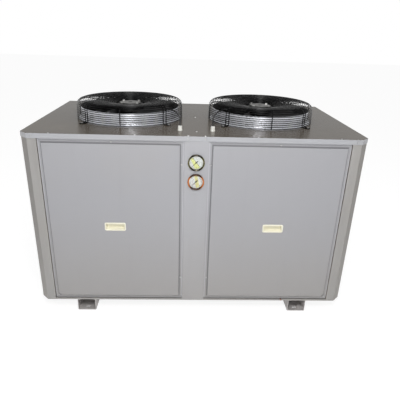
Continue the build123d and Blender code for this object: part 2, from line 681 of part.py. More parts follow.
def pull_handle():
    """Right handle: a rounded rim on the panel and a cup behind it, with a ledge over the fingers."""
    outline = chamfer(Rectangle(HANDLE_WIDTH, HANDLE_HEIGHT).vertices(), HANDLE_CORNER)
    rim = extrude(outline, amount=HANDLE_PROUD)
    rim = chamfer(rim.faces().sort_by(Axis.Z)[-1].edges(), HANDLE_PROUD / 2)
    cup_w, cup_h = HANDLE_WIDTH - 2 * HANDLE_RIM, HANDLE_HEIGHT - 2 * HANDLE_RIM
    cup = Pos(0, 0, -HANDLE_DEPTH) * extrude(Rectangle(cup_w, cup_h), amount=HANDLE_DEPTH)
    handle = rim + cup
    inside_w, inside_h = cup_w - 2 * HANDLE_WALL, cup_h - 2 * HANDLE_WALL
    floor = HANDLE_WALL - HANDLE_DEPTH
    handle -= Pos(0, 0, floor) * extrude(Rectangle(inside_w, inside_h), amount=-floor - HANDLE_WALL)
    mouth = Rectangle(inside_w, inside_h - HANDLE_LEDGE)
    handle -= Pos(0, -HANDLE_LEDGE / 2, floor) * extrude(mouth, amount=HANDLE_DEPTH + HANDLE_PROUD)
    return Pos(HANDLE_X, Y_FRAME, HANDLE_Z) * Rot(90, 0, 0) * handle


# ---------------------------------------------------------------- gauges
def gauge_case(z):
    """Cup with a rounded rim in front, a step behind its lip for the glass, and a brass stem."""
    rim, case, inner = GAUGE_RIM_RADIUS, GAUGE_CASE_RADIUS, GAUGE_CASE_RADIUS - GAUGE_WALL
    depth, proud = GAUGE_CASE_DEPTH, GAUGE_PROUD + FRAME_INSET
    glass = GAUGE_GLASS_RADIUS + TOUCH_GAP
    profile = [(0, GAUGE_FLOOR), (inner, GAUGE_FLOOR), (inner, GLASS_BACK), (glass, GLASS_BACK),
               (glass, GLASS_BACK + GLASS_SHEET + TOUCH_GAP), (glass - 2, proud - 1.5), (glass + 2, proud),
               (rim, proud - 3.5), (rim, 0), (case, 0), (case, -depth), (GAUGE_STEM_RADIUS, -depth),
               (GAUGE_STEM_RADIUS, -depth - GAUGE_STEM), (0, -depth - GAUGE_STEM)]
    return Pos(0, Y_FRAME, z) * Rot(90, 0, 0) * turned(profile, LATHE_SIDES)


def gauge_dial(z):
    """Dial plate and movement block seated on the case's floor, with the spindle's bore."""
    bore = SPINDLE_RADIUS + RUNNING_FIT
    outer = GAUGE_CASE_RADIUS - GAUGE_WALL - TOUCH_GAP / 3
    dial = turned([(0, GAUGE_FLOOR), (outer, GAUGE_FLOOR), (outer, DIAL_FACE), (0, DIAL_FACE)], LATHE_SIDES)
    dial -= upright(bore, GAUGE_FLOOR + 2, DIAL_FACE + 1)
    return Pos(0, Y_FRAME, z) * Rot(90, 0, 0) * dial


def gauge_glass(z):
    """Flat glass held behind the rim."""
    disc = extrude(RegularPolygon(GAUGE_GLASS_RADIUS, LATHE_SIDES), amount=GLASS_SHEET)
    return Pos(0, Y_FRAME, z) * Rot(90, 0, 0) * Pos(0, 0, GLASS_BACK) * disc


def gauge_pointer(z):
    """Tapered pointer with a counterweight tail on its spindle, resting at the low end of the scale."""
    reach, tail = GAUGE_DIAL_RADIUS - 5, 11.0
    arm = polygon([(-tail, -2.6), (0, -1.7), (reach, -0.3), (reach, 0.3), (0, 1.7), (-tail, 2.6)])
    pointer = Pos(0, 0, POINTER_BACK) * extrude(arm, amount=POINTER_SHEET)
    pointer += Pos(0, 0, POINTER_BACK) * extrude(RegularPolygon(POINTER_BOSS, 8), amount=2 * POINTER_SHEET)
    pointer += upright(SPINDLE_RADIUS, GAUGE_FLOOR + 2 + TOUCH_GAP, POINTER_BACK + POINTER_SHEET / 2)
    return Pos(0, Y_FRAME, z) * Rot(90, 0, 0) * Rot(0, 0, POINTER_REST) * pointer


# ---------------------------------------------------------------- fans
def fan_ring():
    """Galvanised ring round the blades: flared foot flange on the roof, straight wall, rolled top."""
    outer, t, z = RING_RADIUS, RING_SHEET, Z_ROOF
    flare = RING_FLANGE
    profile = [(outer - t, z), (outer + flare, z), (outer + flare, z + t), (outer, z + flare / 2),
               (outer, z + RING_HEIGHT), (outer - t, z + RING_HEIGHT)]
    return Pos(FAN_X, FAN_Y, 0) * turned(profile, RING_SIDES)


def guard_section():
    """Centre line of a spoke as radius and height above the roof, from its foot to the motor plate."""
    r, side = GUARD_RADIUS - SPOKE_WIRE / 2, GUARD_SIDE_HEIGHT
    shoulder, crest = GUARD_SHOULDER, GUARD_CREST_HEIGHT - SPOKE_WIRE / 2
    rise = crest - side
    arc = [(r - shoulder * (1 - cos(radians(a))), side + rise * sin(radians(a))) for a in (0, 45, 90)]
    hub = GUARD_HUB_HEIGHT - SPOKE_WIRE / 2
    return arc + [(r - shoulder - GUARD_CREST_WIDTH, crest - GUARD_CREST_FALL),
                  (MOTOR_BOLT_RADIUS + MOTOR_EAR + 2, hub)]


def height_on_guard(radius):
    """Height of the spokes' centre line at a radius inside the shoulder."""
    section = guard_section()
    for (r0, z0), (r1, z1) in zip(section, section[1:]):
        if r1 <= radius <= r0:
            return z0 + (z1 - z0) * (r0 - radius) / (r0 - r1)
    return section[-1][1]


def guard_ring(radius, z):
    """One ring of the basket, straight lengths of square wire, z its middle."""
    ring = RegularPolygon(radius, GUARD_SIDES, major_radius=False, rotation=180 / GUARD_SIDES)
    ring -= RegularPolygon(radius - WIRE, GUARD_SIDES, major_radius=False, rotation=180 / GUARD_SIDES)
    return Pos(0, 0, z - WIRE / 2) * extrude(ring, amount=WIRE)


def spoke(foot_z, end_radius):
    """A bent spoke along +X from height foot_z on the side, over the shoulder, to under the motor plate."""
    path = [(GUARD_RADIUS - SPOKE_WIRE / 2, foot_z)] + guard_section()
    path.append((end_radius, path[-1][1]))
    section = Plane.XZ * bent_bar(path, SPOKE_WIRE)
    return Pos(0, SPOKE_WIRE / 2, 0) * extrude(section, amount=SPOKE_WIRE, dir=(0, -1, 0))


def guard_leg():
    """A rod with a foot tab turned outwards that takes one bolt."""
    r0, r1, half = GUARD_RADIUS - SPOKE_WIRE, GUARD_FOOT_RADIUS + GUARD_TAB_END, GUARD_LEG_WIDTH / 2
    tab = polygon([(r0, -half), (r1 - 4, -half), (r1, 4 - half), (r1, half - 4), (r1 - 4, half), (r0, half)])
    leg = extrude(tab, amount=GUARD_FOOT_SHEET)
    leg -= Pos(GUARD_FOOT_RADIUS, 0) * hole(GUARD_BOLT / 2 + TOUCH_GAP, 4 * GUARD_FOOT_SHEET)
    return leg + spoke(GUARD_FOOT_SHEET / 2, MOTOR_BOLT_RADIUS + MOTOR_BOLT)


def fan_guard():
    """Wire basket over a fan: side rings, shoulder and top rings, four spokes and four legs."""
    wires = Part() + [Rot(0, 0, 90 * i) * spoke(GUARD_LOW_RING, GUARD_HUB_RADIUS) for i in range(4)]
    wires += [Rot(0, 0, GUARD_LEG_ANGLE + 90 * i) * guard_leg() for i in range(4)]
    side_step = (GUARD_SIDE_HEIGHT - GUARD_LOW_RING) / GUARD_SIDE_RINGS
    for i in range(GUARD_SIDE_RINGS):
        wires += guard_ring(GUARD_RADIUS - SPOKE_WIRE / 2 + WIRE / 2, GUARD_LOW_RING + i * side_step)
    crest_radius = GUARD_RADIUS - GUARD_SHOULDER
    for i in range(GUARD_SHOULDER_RINGS):
        r, z = guard_section()[i]
        wires += guard_ring(r + WIRE / 2, z)
    top_step = (crest_radius - MOTOR_BOLT_RADIUS - MOTOR_EAR) / GUARD_TOP_RINGS
    for i in range(GUARD_TOP_RINGS):
        radius = crest_radius - i * top_step
        wires += guard_ring(radius, height_on_guard(radius - WIRE / 2))
    return Pos(FAN_X, FAN_Y, Z_ROOF) * wires


def motor_plate():
    """Plate on the inner ends of the spokes: an octagon with four bolted ears and a centre hole."""
    plate = RegularPolygon(MOTOR_PLATE / 2, 8, major_radius=False)
    for i in range(4):
        ear = Rot(0, 0, GUARD_LEG_ANGLE + 90 * i)
        reach = MOTOR_BOLT_RADIUS + MOTOR_EAR
        plate += ear * polygon([(0, -MOTOR_EAR), (reach - 4, -MOTOR_EAR), (reach, 4 - MOTOR_EAR),
                                (reach, MOTOR_EAR - 4), (reach - 4, MOTOR_EAR), (0, MOTOR_EAR)])
    plate = extrude(plate, amount=MOTOR_PLATE_SHEET)
    for i in range(4):
        place = Rot(0, 0, GUARD_LEG_ANGLE + 90 * i) * Pos(MOTOR_BOLT_RADIUS, 0)
        plate -= place * hole(MOTOR_BOLT / 2 + TOUCH_GAP, 4 * MOTOR_PLATE_SHEET)
    plate -= hole(MOTOR_CENTRE_HOLE, 4 * MOTOR_PLATE_SHEET)
    return Pos(FAN_X, FAN_Y, MOTOR_PLATE_Z) * plate


def motor_stator():
    """Fixed part of the outer-rotor motor: flange under the plate, wound core and shaft bore."""
    flange_r = MOTOR_BOLT_RADIUS + MOTOR_EAR
    core = MOTOR_RADIUS - MOTOR_CUP_WALL - STATOR_GAP
    top = GUARD_HUB_HEIGHT - SPOKE_WIRE - TOUCH_GAP
    low = ROTOR_FOOT + MOTOR_CUP_WALL + STATOR_GAP
    profile = [(0, low), (core, low), (core, top - STATOR_FLANGE), (flange_r, top - STATOR_FLANGE),
               (flange_r, top), (STATOR_BOSS, top), (STATOR_BOSS, GUARD_HUB_HEIGHT), (0, GUARD_HUB_HEIGHT)]
    bore = upright(MOTOR_SHAFT_RADIUS + RUNNING_FIT, low - 1, GUARD_HUB_HEIGHT + 1)
    stator = turned(profile, LATHE_SIDES) - bore
    for i in range(4):
        place = Rot(0, 0, GUARD_LEG_ANGLE + 90 * i) * Pos(MOTOR_BOLT_RADIUS, 0, top - STATOR_FLANGE / 2)
        stator -= place * hole(MOTOR_BOLT / 2 + TOUCH_GAP, STATOR_FLANGE + 2)
    return Pos(FAN_X, FAN_Y, Z_ROOF) * stator


def motor_rotor():
    """Turning cup of the motor, with its shaft in the stator's bore."""
    r, wall, foot, top = MOTOR_RADIUS, MOTOR_CUP_WALL, ROTOR_FOOT, ROTOR_TOP
    profile = [(0, foot), (r - 9, foot), (r, foot + 9), (r, top), (r - wall, top), (r - wall, foot + wall),
               (0, foot + wall)]
    cup = turned(profile, GUARD_SIDES) + upright(MOTOR_SHAFT_RADIUS, foot + wall / 2, GUARD_HUB_HEIGHT - 2)
    return Pos(FAN_X, FAN_Y, Z_ROOF) * cup


def fan_blades():
    """Sickle blades skinned over their sections from root to tip, on a band that grips the motor's cup."""
    root = MOTOR_RADIUS + TOUCH_GAP
    low, high = BLADE_MID_HEIGHT - BAND_HEIGHT / 2, BLADE_MID_HEIGHT + BAND_HEIGHT / 2
    blades = turned([(root, low), (root + HUB_BAND_WALL, low), (root + HUB_BAND_WALL, high), (root, high)],
                    GUARD_SIDES)
    start = root + HUB_BAND_WALL / 2
    span = sqrt(BLADE_TIP_RADIUS ** 2 - (BLADE_TIP_CHORD / 2) ** 2) - start
    loops = []
    for i in range(BLADE_SPANS + 1):
        step = i / BLADE_SPANS
        radius = start + span * step
        half = (BLADE_ROOT_CHORD + (BLADE_TIP_CHORD - BLADE_ROOT_CHORD) * step) / 2
        pitch = BLADE_ROOT_ANGLE + (BLADE_TIP_ANGLE - BLADE_ROOT_ANGLE) * step
        sweep_back = BLADE_SWEEP_ANGLE * step * step
        place = Rot(0, 0, sweep_back) * Pos(radius, 0, BLADE_MID_HEIGHT)
        place *= Rot(0, 90, 0) * Rot(0, 0, 90 - pitch)
        camber, t = 2 * half * BLADE_CAMBER_RATIO, BLADE_SHEET
        outline = [(-half, 0), (0, camber), (half, 0), (half, t), (0, camber + t), (-half, t)]
        loops.append([(place * Pos(x, y, 0)).position for x, y in outline])
    blade = skinned(loops)
    for i in range(BLADE_COUNT):
        blades += Rot(0, 0, 360 / BLADE_COUNT * i) * blade
    return Pos(FAN_X, FAN_Y, Z_ROOF) * blades


def cable_glands():
    """Two glands in the roof: hexagon collar, domed nut with the cable's way in, thread and lock nut."""
    way, floor = CABLE_RADIUS + 2 * TOUCH_GAP, GLAND_HEIGHT - GLAND_GRIP
    dome, thread = GLAND_DOME, GLAND_THREAD
    profile = [(way, floor), (way, GLAND_HEIGHT), (dome - GLAND_CROWN / 2, GLAND_HEIGHT),
               (dome, GLAND_HEIGHT - GLAND_CROWN), (dome, GLAND_COLLAR - 1), (thread, GLAND_COLLAR - 1),
               (thread, -GLAND_TAIL), (0, -GLAND_TAIL), (0, floor)]
    body = turned(profile, SMALL_SIDES)
    collar = extrude(RegularPolygon(GLAND_RADIUS, 6), amount=GLAND_COLLAR)
    ring = RegularPolygon(GLAND_RADIUS + 1, 6) - RegularPolygon(thread, SMALL_SIDES)
    nut = extrude(ring, amount=GLAND_NUT)
    parts = []
    for sign in (-1, 1):
        place = Pos(sign * GLAND_OFFSET, Y_FRONT + GLAND_FROM_FRONT, Z_ROOF)
        parts += [place * (body + collar), place * Pos(0, 0, -SHEET - GLAND_NUT) * nut]
    return parts


def motor_cable():
    """Right motor's cable: from the stator flange under the wires, out of the basket, to its gland."""
    path = FilletPolyline(*CABLE_ROUTE, radius=cord_radii(CABLE_ROUTE))
    start = Plane(origin=CABLE_ROUTE[0], z_dir=Vector(*CABLE_ROUTE[1]) - Vector(*CABLE_ROUTE[0]))
    return sweep(start * RegularPolygon(CABLE_RADIUS, PIPE_SIDES), path=path)


def cord_radii(points):
    """One radius per corner: 0.45 of the shorter run over the tangent of half the turn."""
    radii = []
    for a, b, c in zip(points, points[1:], points[2:]):
        one, two = Vector(*b) - Vector(*a), Vector(*c) - Vector(*b)
        radii.append(0.45 * min(one.length, two.length) / tan(radians(one.get_angle(two)) / 2))
    print("cord radii", [round(radius) for radius in radii])
    return radii


def fan_bolts():
    """Bolts of the guards' feet in the roof, and of the motor plates and stators between the leg rods."""
    foot = hexagon_bolt(10, 4, GUARD_BOLT / 2, GUARD_FOOT_SHEET + SHEET + 6)
    hub = hexagon_bolt(10, 4, MOTOR_BOLT / 2, MOTOR_PLATE_SHEET + SPOKE_WIRE + TOUCH_GAP + STATOR_FLANGE)
    bolts = []
    for sign in (-1, 1):
        for i in range(4):
            turn = Pos(sign * FAN_X, FAN_Y, 0) * Rot(0, 0, GUARD_LEG_ANGLE + 90 * i)
            bolts.append(turn * Pos(GUARD_FOOT_RADIUS, 0, Z_ROOF + GUARD_FOOT_SHEET) * foot)
            bolts.append(turn * Pos(MOTOR_BOLT_RADIUS, 0, MOTOR_PLATE_Z + MOTOR_PLATE_SHEET) * hub)
    return bolts


def roof_rivets():
    """Rivet heads along the roof's front edge and down its middle, and on the skirt's front."""
    rivet = extrude(RegularPolygon(RIVET_HEAD, 6), amount=RIVET_HEIGHT, taper=30)
    row = (WIDTH / 2 - RIVET_FROM_SIDE, FAN_X - RIVET_FROM_FAN, RIVET_BY_SEAM)
    heads = [Pos(sign * x, Y_FRONT + RIVET_SETBACK, Z_ROOF) * rivet for x in row for sign in (-1, 1)]
    heads += [Pos(0, Y_FRONT + y, Z_ROOF) * rivet for y in RIVET_MIDDLE]
    for x in (WIDTH / 2 - SKIRT_RIVET_FROM_SIDE, RIVET_BY_SEAM):
        heads += [Pos(sign * x, Y_FRONT, Z_ROOF - PAN_SKIRT / 2) * Rot(90, 0, 0) * rivet for sign in (-1, 1)]
    return heads


# ---------------------------------------------------------------- condenser coil
def fin_pack(length):
    """A coil slab lying along +X from 0: the tube block, and fin ridges across its outer face at y = 0."""
    count = int(length / COIL_FIN_PITCH)
    margin = (length - (count - 0.5) * COIL_FIN_PITCH) / 2
    outline = [(0, COIL_FIN_DEPTH)]
    for i in range(count):
        x0 = margin + i * COIL_FIN_PITCH
        x1 = x0 + COIL_FIN_PITCH / 2
        outline += [(x0, COIL_FIN_DEPTH), (x0, 0), (x1, 0), (x1, COIL_FIN_DEPTH)]
    outline += [(length, COIL_FIN_DEPTH), (length, COIL_THICKNESS), (0, COIL_THICKNESS)]
    return raise_face(polygon(outline), Z_DECK, Z_DECK + COIL_HEIGHT)


def side_coil():
    """Right coil slab with its fins, between its two end plates."""
    y0, y1 = coil_side_span()
    slab = fin_pack(y1 - y0 - 2 * TUBE_SHEET)
    return Pos(X_FRAME - COIL_INSET, y0 + TUBE_SHEET, 0) * Rot(0, 0, 90) * slab


def rear_coil():
    """Rear coil slab between the side slabs."""
    half = coil_rear_half() - TUBE_SHEET
    return Pos(half, Y_FRAME_REAR - COIL_INSET, 0) * Rot(0, 0, 180) * fin_pack(2 * half)


def coil_side_span():
    """Where the side slabs begin and end along Y."""
    return Y_FRAME + post_cut() + POST_SIDE + TUBE_SHEET, Y_FRAME_REAR - COIL_INSET


def coil_rear_half():
    """Half the length of the rear slab."""
    return X_FRAME - COIL_INSET - COIL_THICKNESS - TUBE_SHEET


def coil_end_plates():
    """Flat steel plates at both ends of each slab."""
    y0, y1 = coil_side_span()
    outer, inner = X_FRAME - COIL_INSET, X_FRAME - COIL_INSET - COIL_THICKNESS
    z0, z1 = Z_DECK, Z_DECK + COIL_HEIGHT
    plates = []
    for y in (y0, y1 - TUBE_SHEET):
        plate = block(inner, outer, y, y + TUBE_SHEET, z0, z1)
        plates += [plate, mirrored(plate)]
    half = coil_rear_half()
    rear = block(half - TUBE_SHEET, half, Y_FRAME_REAR - COIL_INSET - COIL_THICKNESS,
                 Y_FRAME_REAR - COIL_INSET, z0, z1)
    return plates + [rear, mirrored(rear)]


def coil_headers():
    """Upright gas and liquid headers inside the rear slab, with branches that enter it."""
    face = Y_FRAME_REAR - COIL_INSET - COIL_THICKNESS
    y = face - HEADER_STANDOFF
    headers = []
    for x, radius in ((HEADER_X, GAS_HEADER), (-HEADER_X, LIQUID_HEADER)):
        header = extrude(RegularPolygon(radius, SMALL_SIDES), amount=HEADER_HIGH - HEADER_LOW)
        header = Pos(x, y, HEADER_LOW) * header
        for i in range(HEADER_BRANCHES):
            z = HEADER_LOW + (i + 0.5) * (HEADER_HIGH - HEADER_LOW) / HEADER_BRANCHES
            branch = extrude(RegularPolygon(BRANCH_RADIUS, 6), amount=HEADER_STANDOFF)
            header += Pos(x, face, z) * Rot(90, 0, 0) * branch
        headers.append(header)
    return headers


# ---------------------------------------------------------------- refrigerant circuit
def vessel(radius, z0, z1, crown):
    """An upright vessel with crowned ends, standing from z0 to z1."""
    return turned([(0, z0), (radius * 0.5, z0), (radius * 0.88, z0 + crown * 0.4), (radius, z0 + crown),
                   (radius, z1 - crown), (radius * 0.88, z1 - crown * 0.4), (radius * 0.5, z1), (0, z1)],
                  LATHE_SIDES)


def stub(radius, z0, z1, x=0.0, y=0.0):
    """An upright pipe stub."""
    return Pos(x, y, z0) * extrude(RegularPolygon(radius, PIPE_SIDES), amount=z1 - z0)


def compressor_shell():
    """Welded compressor: base plate, lower and upper shells with their lap, and two pipe stubs."""
    x, y = COMPRESSOR_AT
    low = Z_DECK + COMPRESSOR_MOUNT
    half = COMPRESSOR_PLATE / 2
    outline = chamfer(Rectangle(2 * half, 2 * half).vertices(), COMPRESSOR_PLATE_CORNER)
    plate = extrude(outline, amount=COMPRESSOR_PLATE_SHEET)
    bolt_hole = hole(MOUNT_BOLT + TOUCH_GAP, 4 * COMPRESSOR_PLATE_SHEET)
    for sx in (-1, 1):
        for sy in (-1, 1):
            plate -= Pos(sx * MOUNT_OFFSET, sy * MOUNT_OFFSET) * bolt_hole
    body = Pos(0, 0, low) * plate + vessel(COMPRESSOR_RADIUS, low + COMPRESSOR_PLATE_SHEET,
                                           low + COMPRESSOR_HEIGHT, COMPRESSOR_CROWN)
    top = low + COMPRESSOR_HEIGHT
    for (px, py), radius in ((SUCTION_PORT, SUCTION_RADIUS), (DISCHARGE_PORT, DISCHARGE_RADIUS)):
        body += stub(radius + STUB_WALL, top - COMPRESSOR_CROWN, top + PORT_RISE, px, py)
    return Pos(x, y, 0) * body


def compressor_mounts():
    """Four rubber mounts under the compressor's plate, each with its bolt."""
    x, y = COMPRESSOR_AT
    parts = []
    bore, waist = MOUNT_BOLT + TOUCH_GAP, MOUNT_RADIUS - MOUNT_WAIST
    rubber = turned([(bore, 0), (MOUNT_RADIUS, 0), (waist, COMPRESSOR_MOUNT / 2),
                     (MOUNT_RADIUS, COMPRESSOR_MOUNT), (bore, COMPRESSOR_MOUNT)], SMALL_SIDES)
    for sx in (-1, 1):
        for sy in (-1, 1):
            place = Pos(x + sx * MOUNT_OFFSET, y + sy * MOUNT_OFFSET, Z_DECK)
            parts.append(place * rubber)
            parts.append(place * Pos(0, 0, COMPRESSOR_MOUNT + COMPRESSOR_PLATE_SHEET)
                         * hexagon_bolt(*MOUNT_NUT, MOUNT_BOLT, COMPRESSOR_MOUNT + COMPRESSOR_PLATE_SHEET))
    return parts


def terminal_box():
    """Compressor's terminal cover, strapped to the shell's front."""
    x, y = COMPRESSOR_AT
    low = Z_DECK + COMPRESSOR_MOUNT + COMPRESSOR_HEIGHT * 0.3
    face = y - COMPRESSOR_RADIUS * cos(pi / LATHE_SIDES) - TOUCH_GAP
    box = block(x - TERMINAL_WIDTH / 2, x + TERMINAL_WIDTH / 2, face - TERMINAL_DEPTH, face,
                low, low + TERMINAL_HEIGHT)
    return chamfer(box.faces().sort_by(Axis.Y)[0].edges(), 8)


def liquid_receiver():
    """Upright receiver on a welded foot ring, with its inlet stub on top and its outlet low in front."""
    x, y = RECEIVER_AT
    foot_top = Z_DECK + RECEIVER_FOOT
    tank = vessel(RECEIVER_RADIUS, foot_top, Z_DECK + RECEIVER_HEIGHT, RECEIVER_CROWN)
    ring_in, ring_out = RECEIVER_RADIUS * 0.7, RECEIVER_RADIUS * 0.76
    tank += turned([(ring_in, Z_DECK), (ring_out, Z_DECK), (ring_out, foot_top + RECEIVER_CROWN),
                    (ring_in, foot_top + RECEIVER_CROWN)], LATHE_SIDES)
    top = Z_DECK + RECEIVER_HEIGHT
    tank += stub(LIQUID_RADIUS + STUB_WALL, top - RECEIVER_CROWN, top + PORT_RISE)
    outlet = stub(LIQUID_RADIUS + STUB_WALL, 0, RECEIVER_RADIUS + PORT_RISE)
    return Pos(x, y, 0) * (tank + Pos(0, 0, LINE_Z) * Rot(90, 0, 0) * outlet)


def suction_accumulator():
    """Upright accumulator on a foot, with its inlet in its right side and its outlet on top."""
    x, y = ACCUMULATOR_AT
    body = vessel(ACCUMULATOR_RADIUS, Z_DECK + 8, Z_DECK + ACCUMULATOR_HEIGHT, ACCUMULATOR_CROWN)
    body += stub(ACCUMULATOR_RADIUS * 0.8, Z_DECK, Z_DECK + 8 + ACCUMULATOR_CROWN)
    body += stub(SUCTION_RADIUS + STUB_WALL, Z_DECK + ACCUMULATOR_HEIGHT - ACCUMULATOR_CROWN,
                 Z_DECK + ACCUMULATOR_HEIGHT + PORT_RISE)
    inlet = stub(SUCTION_RADIUS + STUB_WALL, 0, ACCUMULATOR_RADIUS + PORT_RISE)
    return Pos(x, y, 0) * (body + Pos(0, 0, SUCTION_Z) * Rot(90, 0, 0) * inlet)


def filter_drier():
    """Drier shell lying along X in the liquid line, necked at both ends."""
    r, half = DRIER_RADIUS, DRIER_LENGTH / 2
    neck = LIQUID_RADIUS + STUB_WALL
    ends = DRIER_NECK
    body = turned([(0, -half - ends), (neck, -half - ends), (neck, -half), (r, DRIER_CONE - half),
                   (r, half - DRIER_CONE), (neck, half), (neck, half + ends), (0, half + ends)], SMALL_SIDES)
    return Pos(DRIER_X, LINE_Y, LINE_Z) * Rot(0, 90, 0) * body


def sight_glass():
    """Brass sight glass body in the liquid line, with its window on top."""
    body = Rot(0, 90, 0) * extrude(RegularPolygon(SIGHT_BODY, 6), amount=SIGHT_LENGTH / 2, both=True)
    body += extrude(RegularPolygon(SIGHT_BODY - 2, SMALL_SIDES), amount=SIGHT_HEIGHT)
    body -= Pos(0, 0, SIGHT_HEIGHT) * hole(SIGHT_WINDOW, SIGHT_BODY / 2)
    return Pos(SIGHT_X, LINE_Y, LINE_Z) * body


def suction_pipes():
    """From the socket in the right post to the accumulator, and on to the compressor."""
    ax, ay = ACCUMULATOR_AT
    first = pipe([(SOCKET_END, SOCKET_Y, SUCTION_Z), (ax, SOCKET_Y, SUCTION_Z),
                  (ax, ay - ACCUMULATOR_RADIUS - PORT_RISE, SUCTION_Z)], SUCTION_RADIUS, SUCTION_BEND)
    socket = Rot(0, 90, 0) * Cylinder(SUCTION_SOCKET, 2 * SOCKET_DEPTH)
    first -= Pos(SOCKET_END, SOCKET_Y, SUCTION_Z) * socket
    top = Z_DECK + ACCUMULATOR_HEIGHT + PORT_RISE
    port = compressor_port_z()
    px, py = COMPRESSOR_AT[0] + SUCTION_PORT[0], COMPRESSOR_AT[1] + SUCTION_PORT[1]
    loop = max(port, top) + SUCTION_LOOP
    over = [(ax, ay, top), (ax, ay, loop), (px, py, loop), (px, py, port)]
    second = pipe(over, SUCTION_RADIUS, SUCTION_BEND)
    return [first, second]


def compressor_port_z():
    """Height of the ends of the compressor's two pipe stubs."""
    return Z_DECK + COMPRESSOR_MOUNT + COMPRESSOR_HEIGHT + PORT_RISE


def header_front(radius):
    """Y of the front flat of a header of this radius."""
    return Y_FRAME_REAR - COIL_INSET - COIL_THICKNESS - HEADER_STANDOFF - radius


def discharge_pipe():
    """From the compressor's top to the coil's gas header."""
    px, py = COMPRESSOR_AT[0] + DISCHARGE_PORT[0], COMPRESSOR_AT[1] + DISCHARGE_PORT[1]
    return pipe([(px, py, compressor_port_z()), (px, py, DISCHARGE_LEVEL), (HEADER_X, py, DISCHARGE_LEVEL),
                 (HEADER_X, header_front(GAS_HEADER), DISCHARGE_LEVEL)], DISCHARGE_RADIUS, DISCHARGE_BEND)


def liquid_pipes():
    """Header to receiver, receiver to drier, drier to sight glass, and on to the socket."""
    rx, ry = RECEIVER_AT
    top = Z_DECK + RECEIVER_HEIGHT + PORT_RISE
    drop = pipe([(-HEADER_X, header_front(LIQUID_HEADER), LIQUID_LEVEL), (-HEADER_X, ry, LIQUID_LEVEL),
                 (rx, ry, LIQUID_LEVEL), (rx, ry, top)], LIQUID_RADIUS, LIQUID_BEND)
    neck = DRIER_LENGTH / 2 + DRIER_NECK
    feed = pipe([(rx, ry - RECEIVER_RADIUS - PORT_RISE, LINE_Z), (rx, LINE_Y, LINE_Z),
                 (DRIER_X - neck, LINE_Y, LINE_Z)], LIQUID_RADIUS, LIQUID_BEND)
    sight = SIGHT_LENGTH / 2
    link = pipe([(DRIER_X + neck, LINE_Y, LINE_Z), (SIGHT_X - sight, LINE_Y, LINE_Z)], LIQUID_RADIUS)
    way_out = [(SIGHT_X + sight, LINE_Y, LINE_Z), (LINE_TURN_X, LINE_Y, LINE_Z),
               (LINE_TURN_X, SOCKET_Y, LIQUID_Z), (SOCKET_END, SOCKET_Y, LIQUID_Z)]
    out = pipe(way_out, LIQUID_RADIUS, LIQUID_BEND)
    out -= Pos(SOCKET_END, SOCKET_Y, LIQUID_Z) * Rot(0, 90, 0) * Cylinder(LIQUID_SOCKET, 2 * SOCKET_DEPTH)
    return [drop, feed, link, out]


def grommet(bore, groove):
    """Rubber bush in the right post's side, its groove on the sheet's edge."""
    seat = groove - GROMMET_GROOVE
    flange = seat + GROMMET_RIM
    outside = WIDTH / 2 - X_FRAME - TOUCH_GAP
    inside = -SHEET - GROMMET_FLANGE
    profile = [(0, inside), (flange, inside), (flange, -SHEET), (seat, -SHEET), (seat, 0),
               (flange, 0), (flange, outside), (0, outside)]
    return Rot(0, 90, 0) * (turned(profile, SMALL_SIDES) - upright(bore, inside - 1, outside + 1))


def grommets():
    """The bushes round the two pipe sockets and the cable's way in."""
    places = ((SUCTION_RADIUS + TOUCH_GAP, SUCTION_GROMMET, SUCTION_Z),
              (LIQUID_RADIUS + TOUCH_GAP, LIQUID_GROMMET, LIQUID_Z), (CABLE_BORE, CABLE_WAY, CABLE_Z))
    return [Pos(X_FRAME, SOCKET_Y, z) * grommet(bore, groove) for bore, groove, z in places]


def electrical_box():
    """Control box on the back of the mullion, its lid lapped over its front edge."""
    y0 = Y_SEAT + SHEET
    x, z0, z1 = BOX_WIDTH / 2, BOX_LOW, BOX_LOW + BOX_HEIGHT
    box = block(-x, x, y0, y0 + BOX_DEPTH, z0, z1)
    lap, proud = BOX_LID_LAP, BOX_LID_PROUD
    lid = block(-x - proud, x + proud, y0 + BOX_DEPTH - lap, y0 + BOX_DEPTH + proud, z0 - proud, z1 + proud)
    for side in (-1, 1):
        box += stub(BOX_GLAND_RADIUS, z0 - BOX_GLAND_LENGTH, z0, side * BOX_WIDTH / 4, y0 + BOX_DEPTH / 2)
    return box + lid


def drain_spigot():
    """Short copper tube through the base pan's front lip."""
    outer = DRAIN_RADIUS - DRAIN_CLEARANCE
    inner = outer - DRAIN_WALL
    ring = turned([(inner, 0), (outer, 0), (outer, DRAIN_LENGTH), (inner, DRAIN_LENGTH)], SMALL_SIDES)
    return Pos(DRAIN_X, Y_FRAME - DRAIN_PROUD, DRAIN_Z) * Rot(-90, 0, 0) * ring


# ---------------------------------------------------------------- assembly
def both_sides(name, right):
    """A right-hand piece and its mirror image as two nodes."""
    copies = [mirrored(piece) for piece in right] if isinstance(right, list) else mirrored(right)
    return {name + "_left": copies, name + "_right": right}


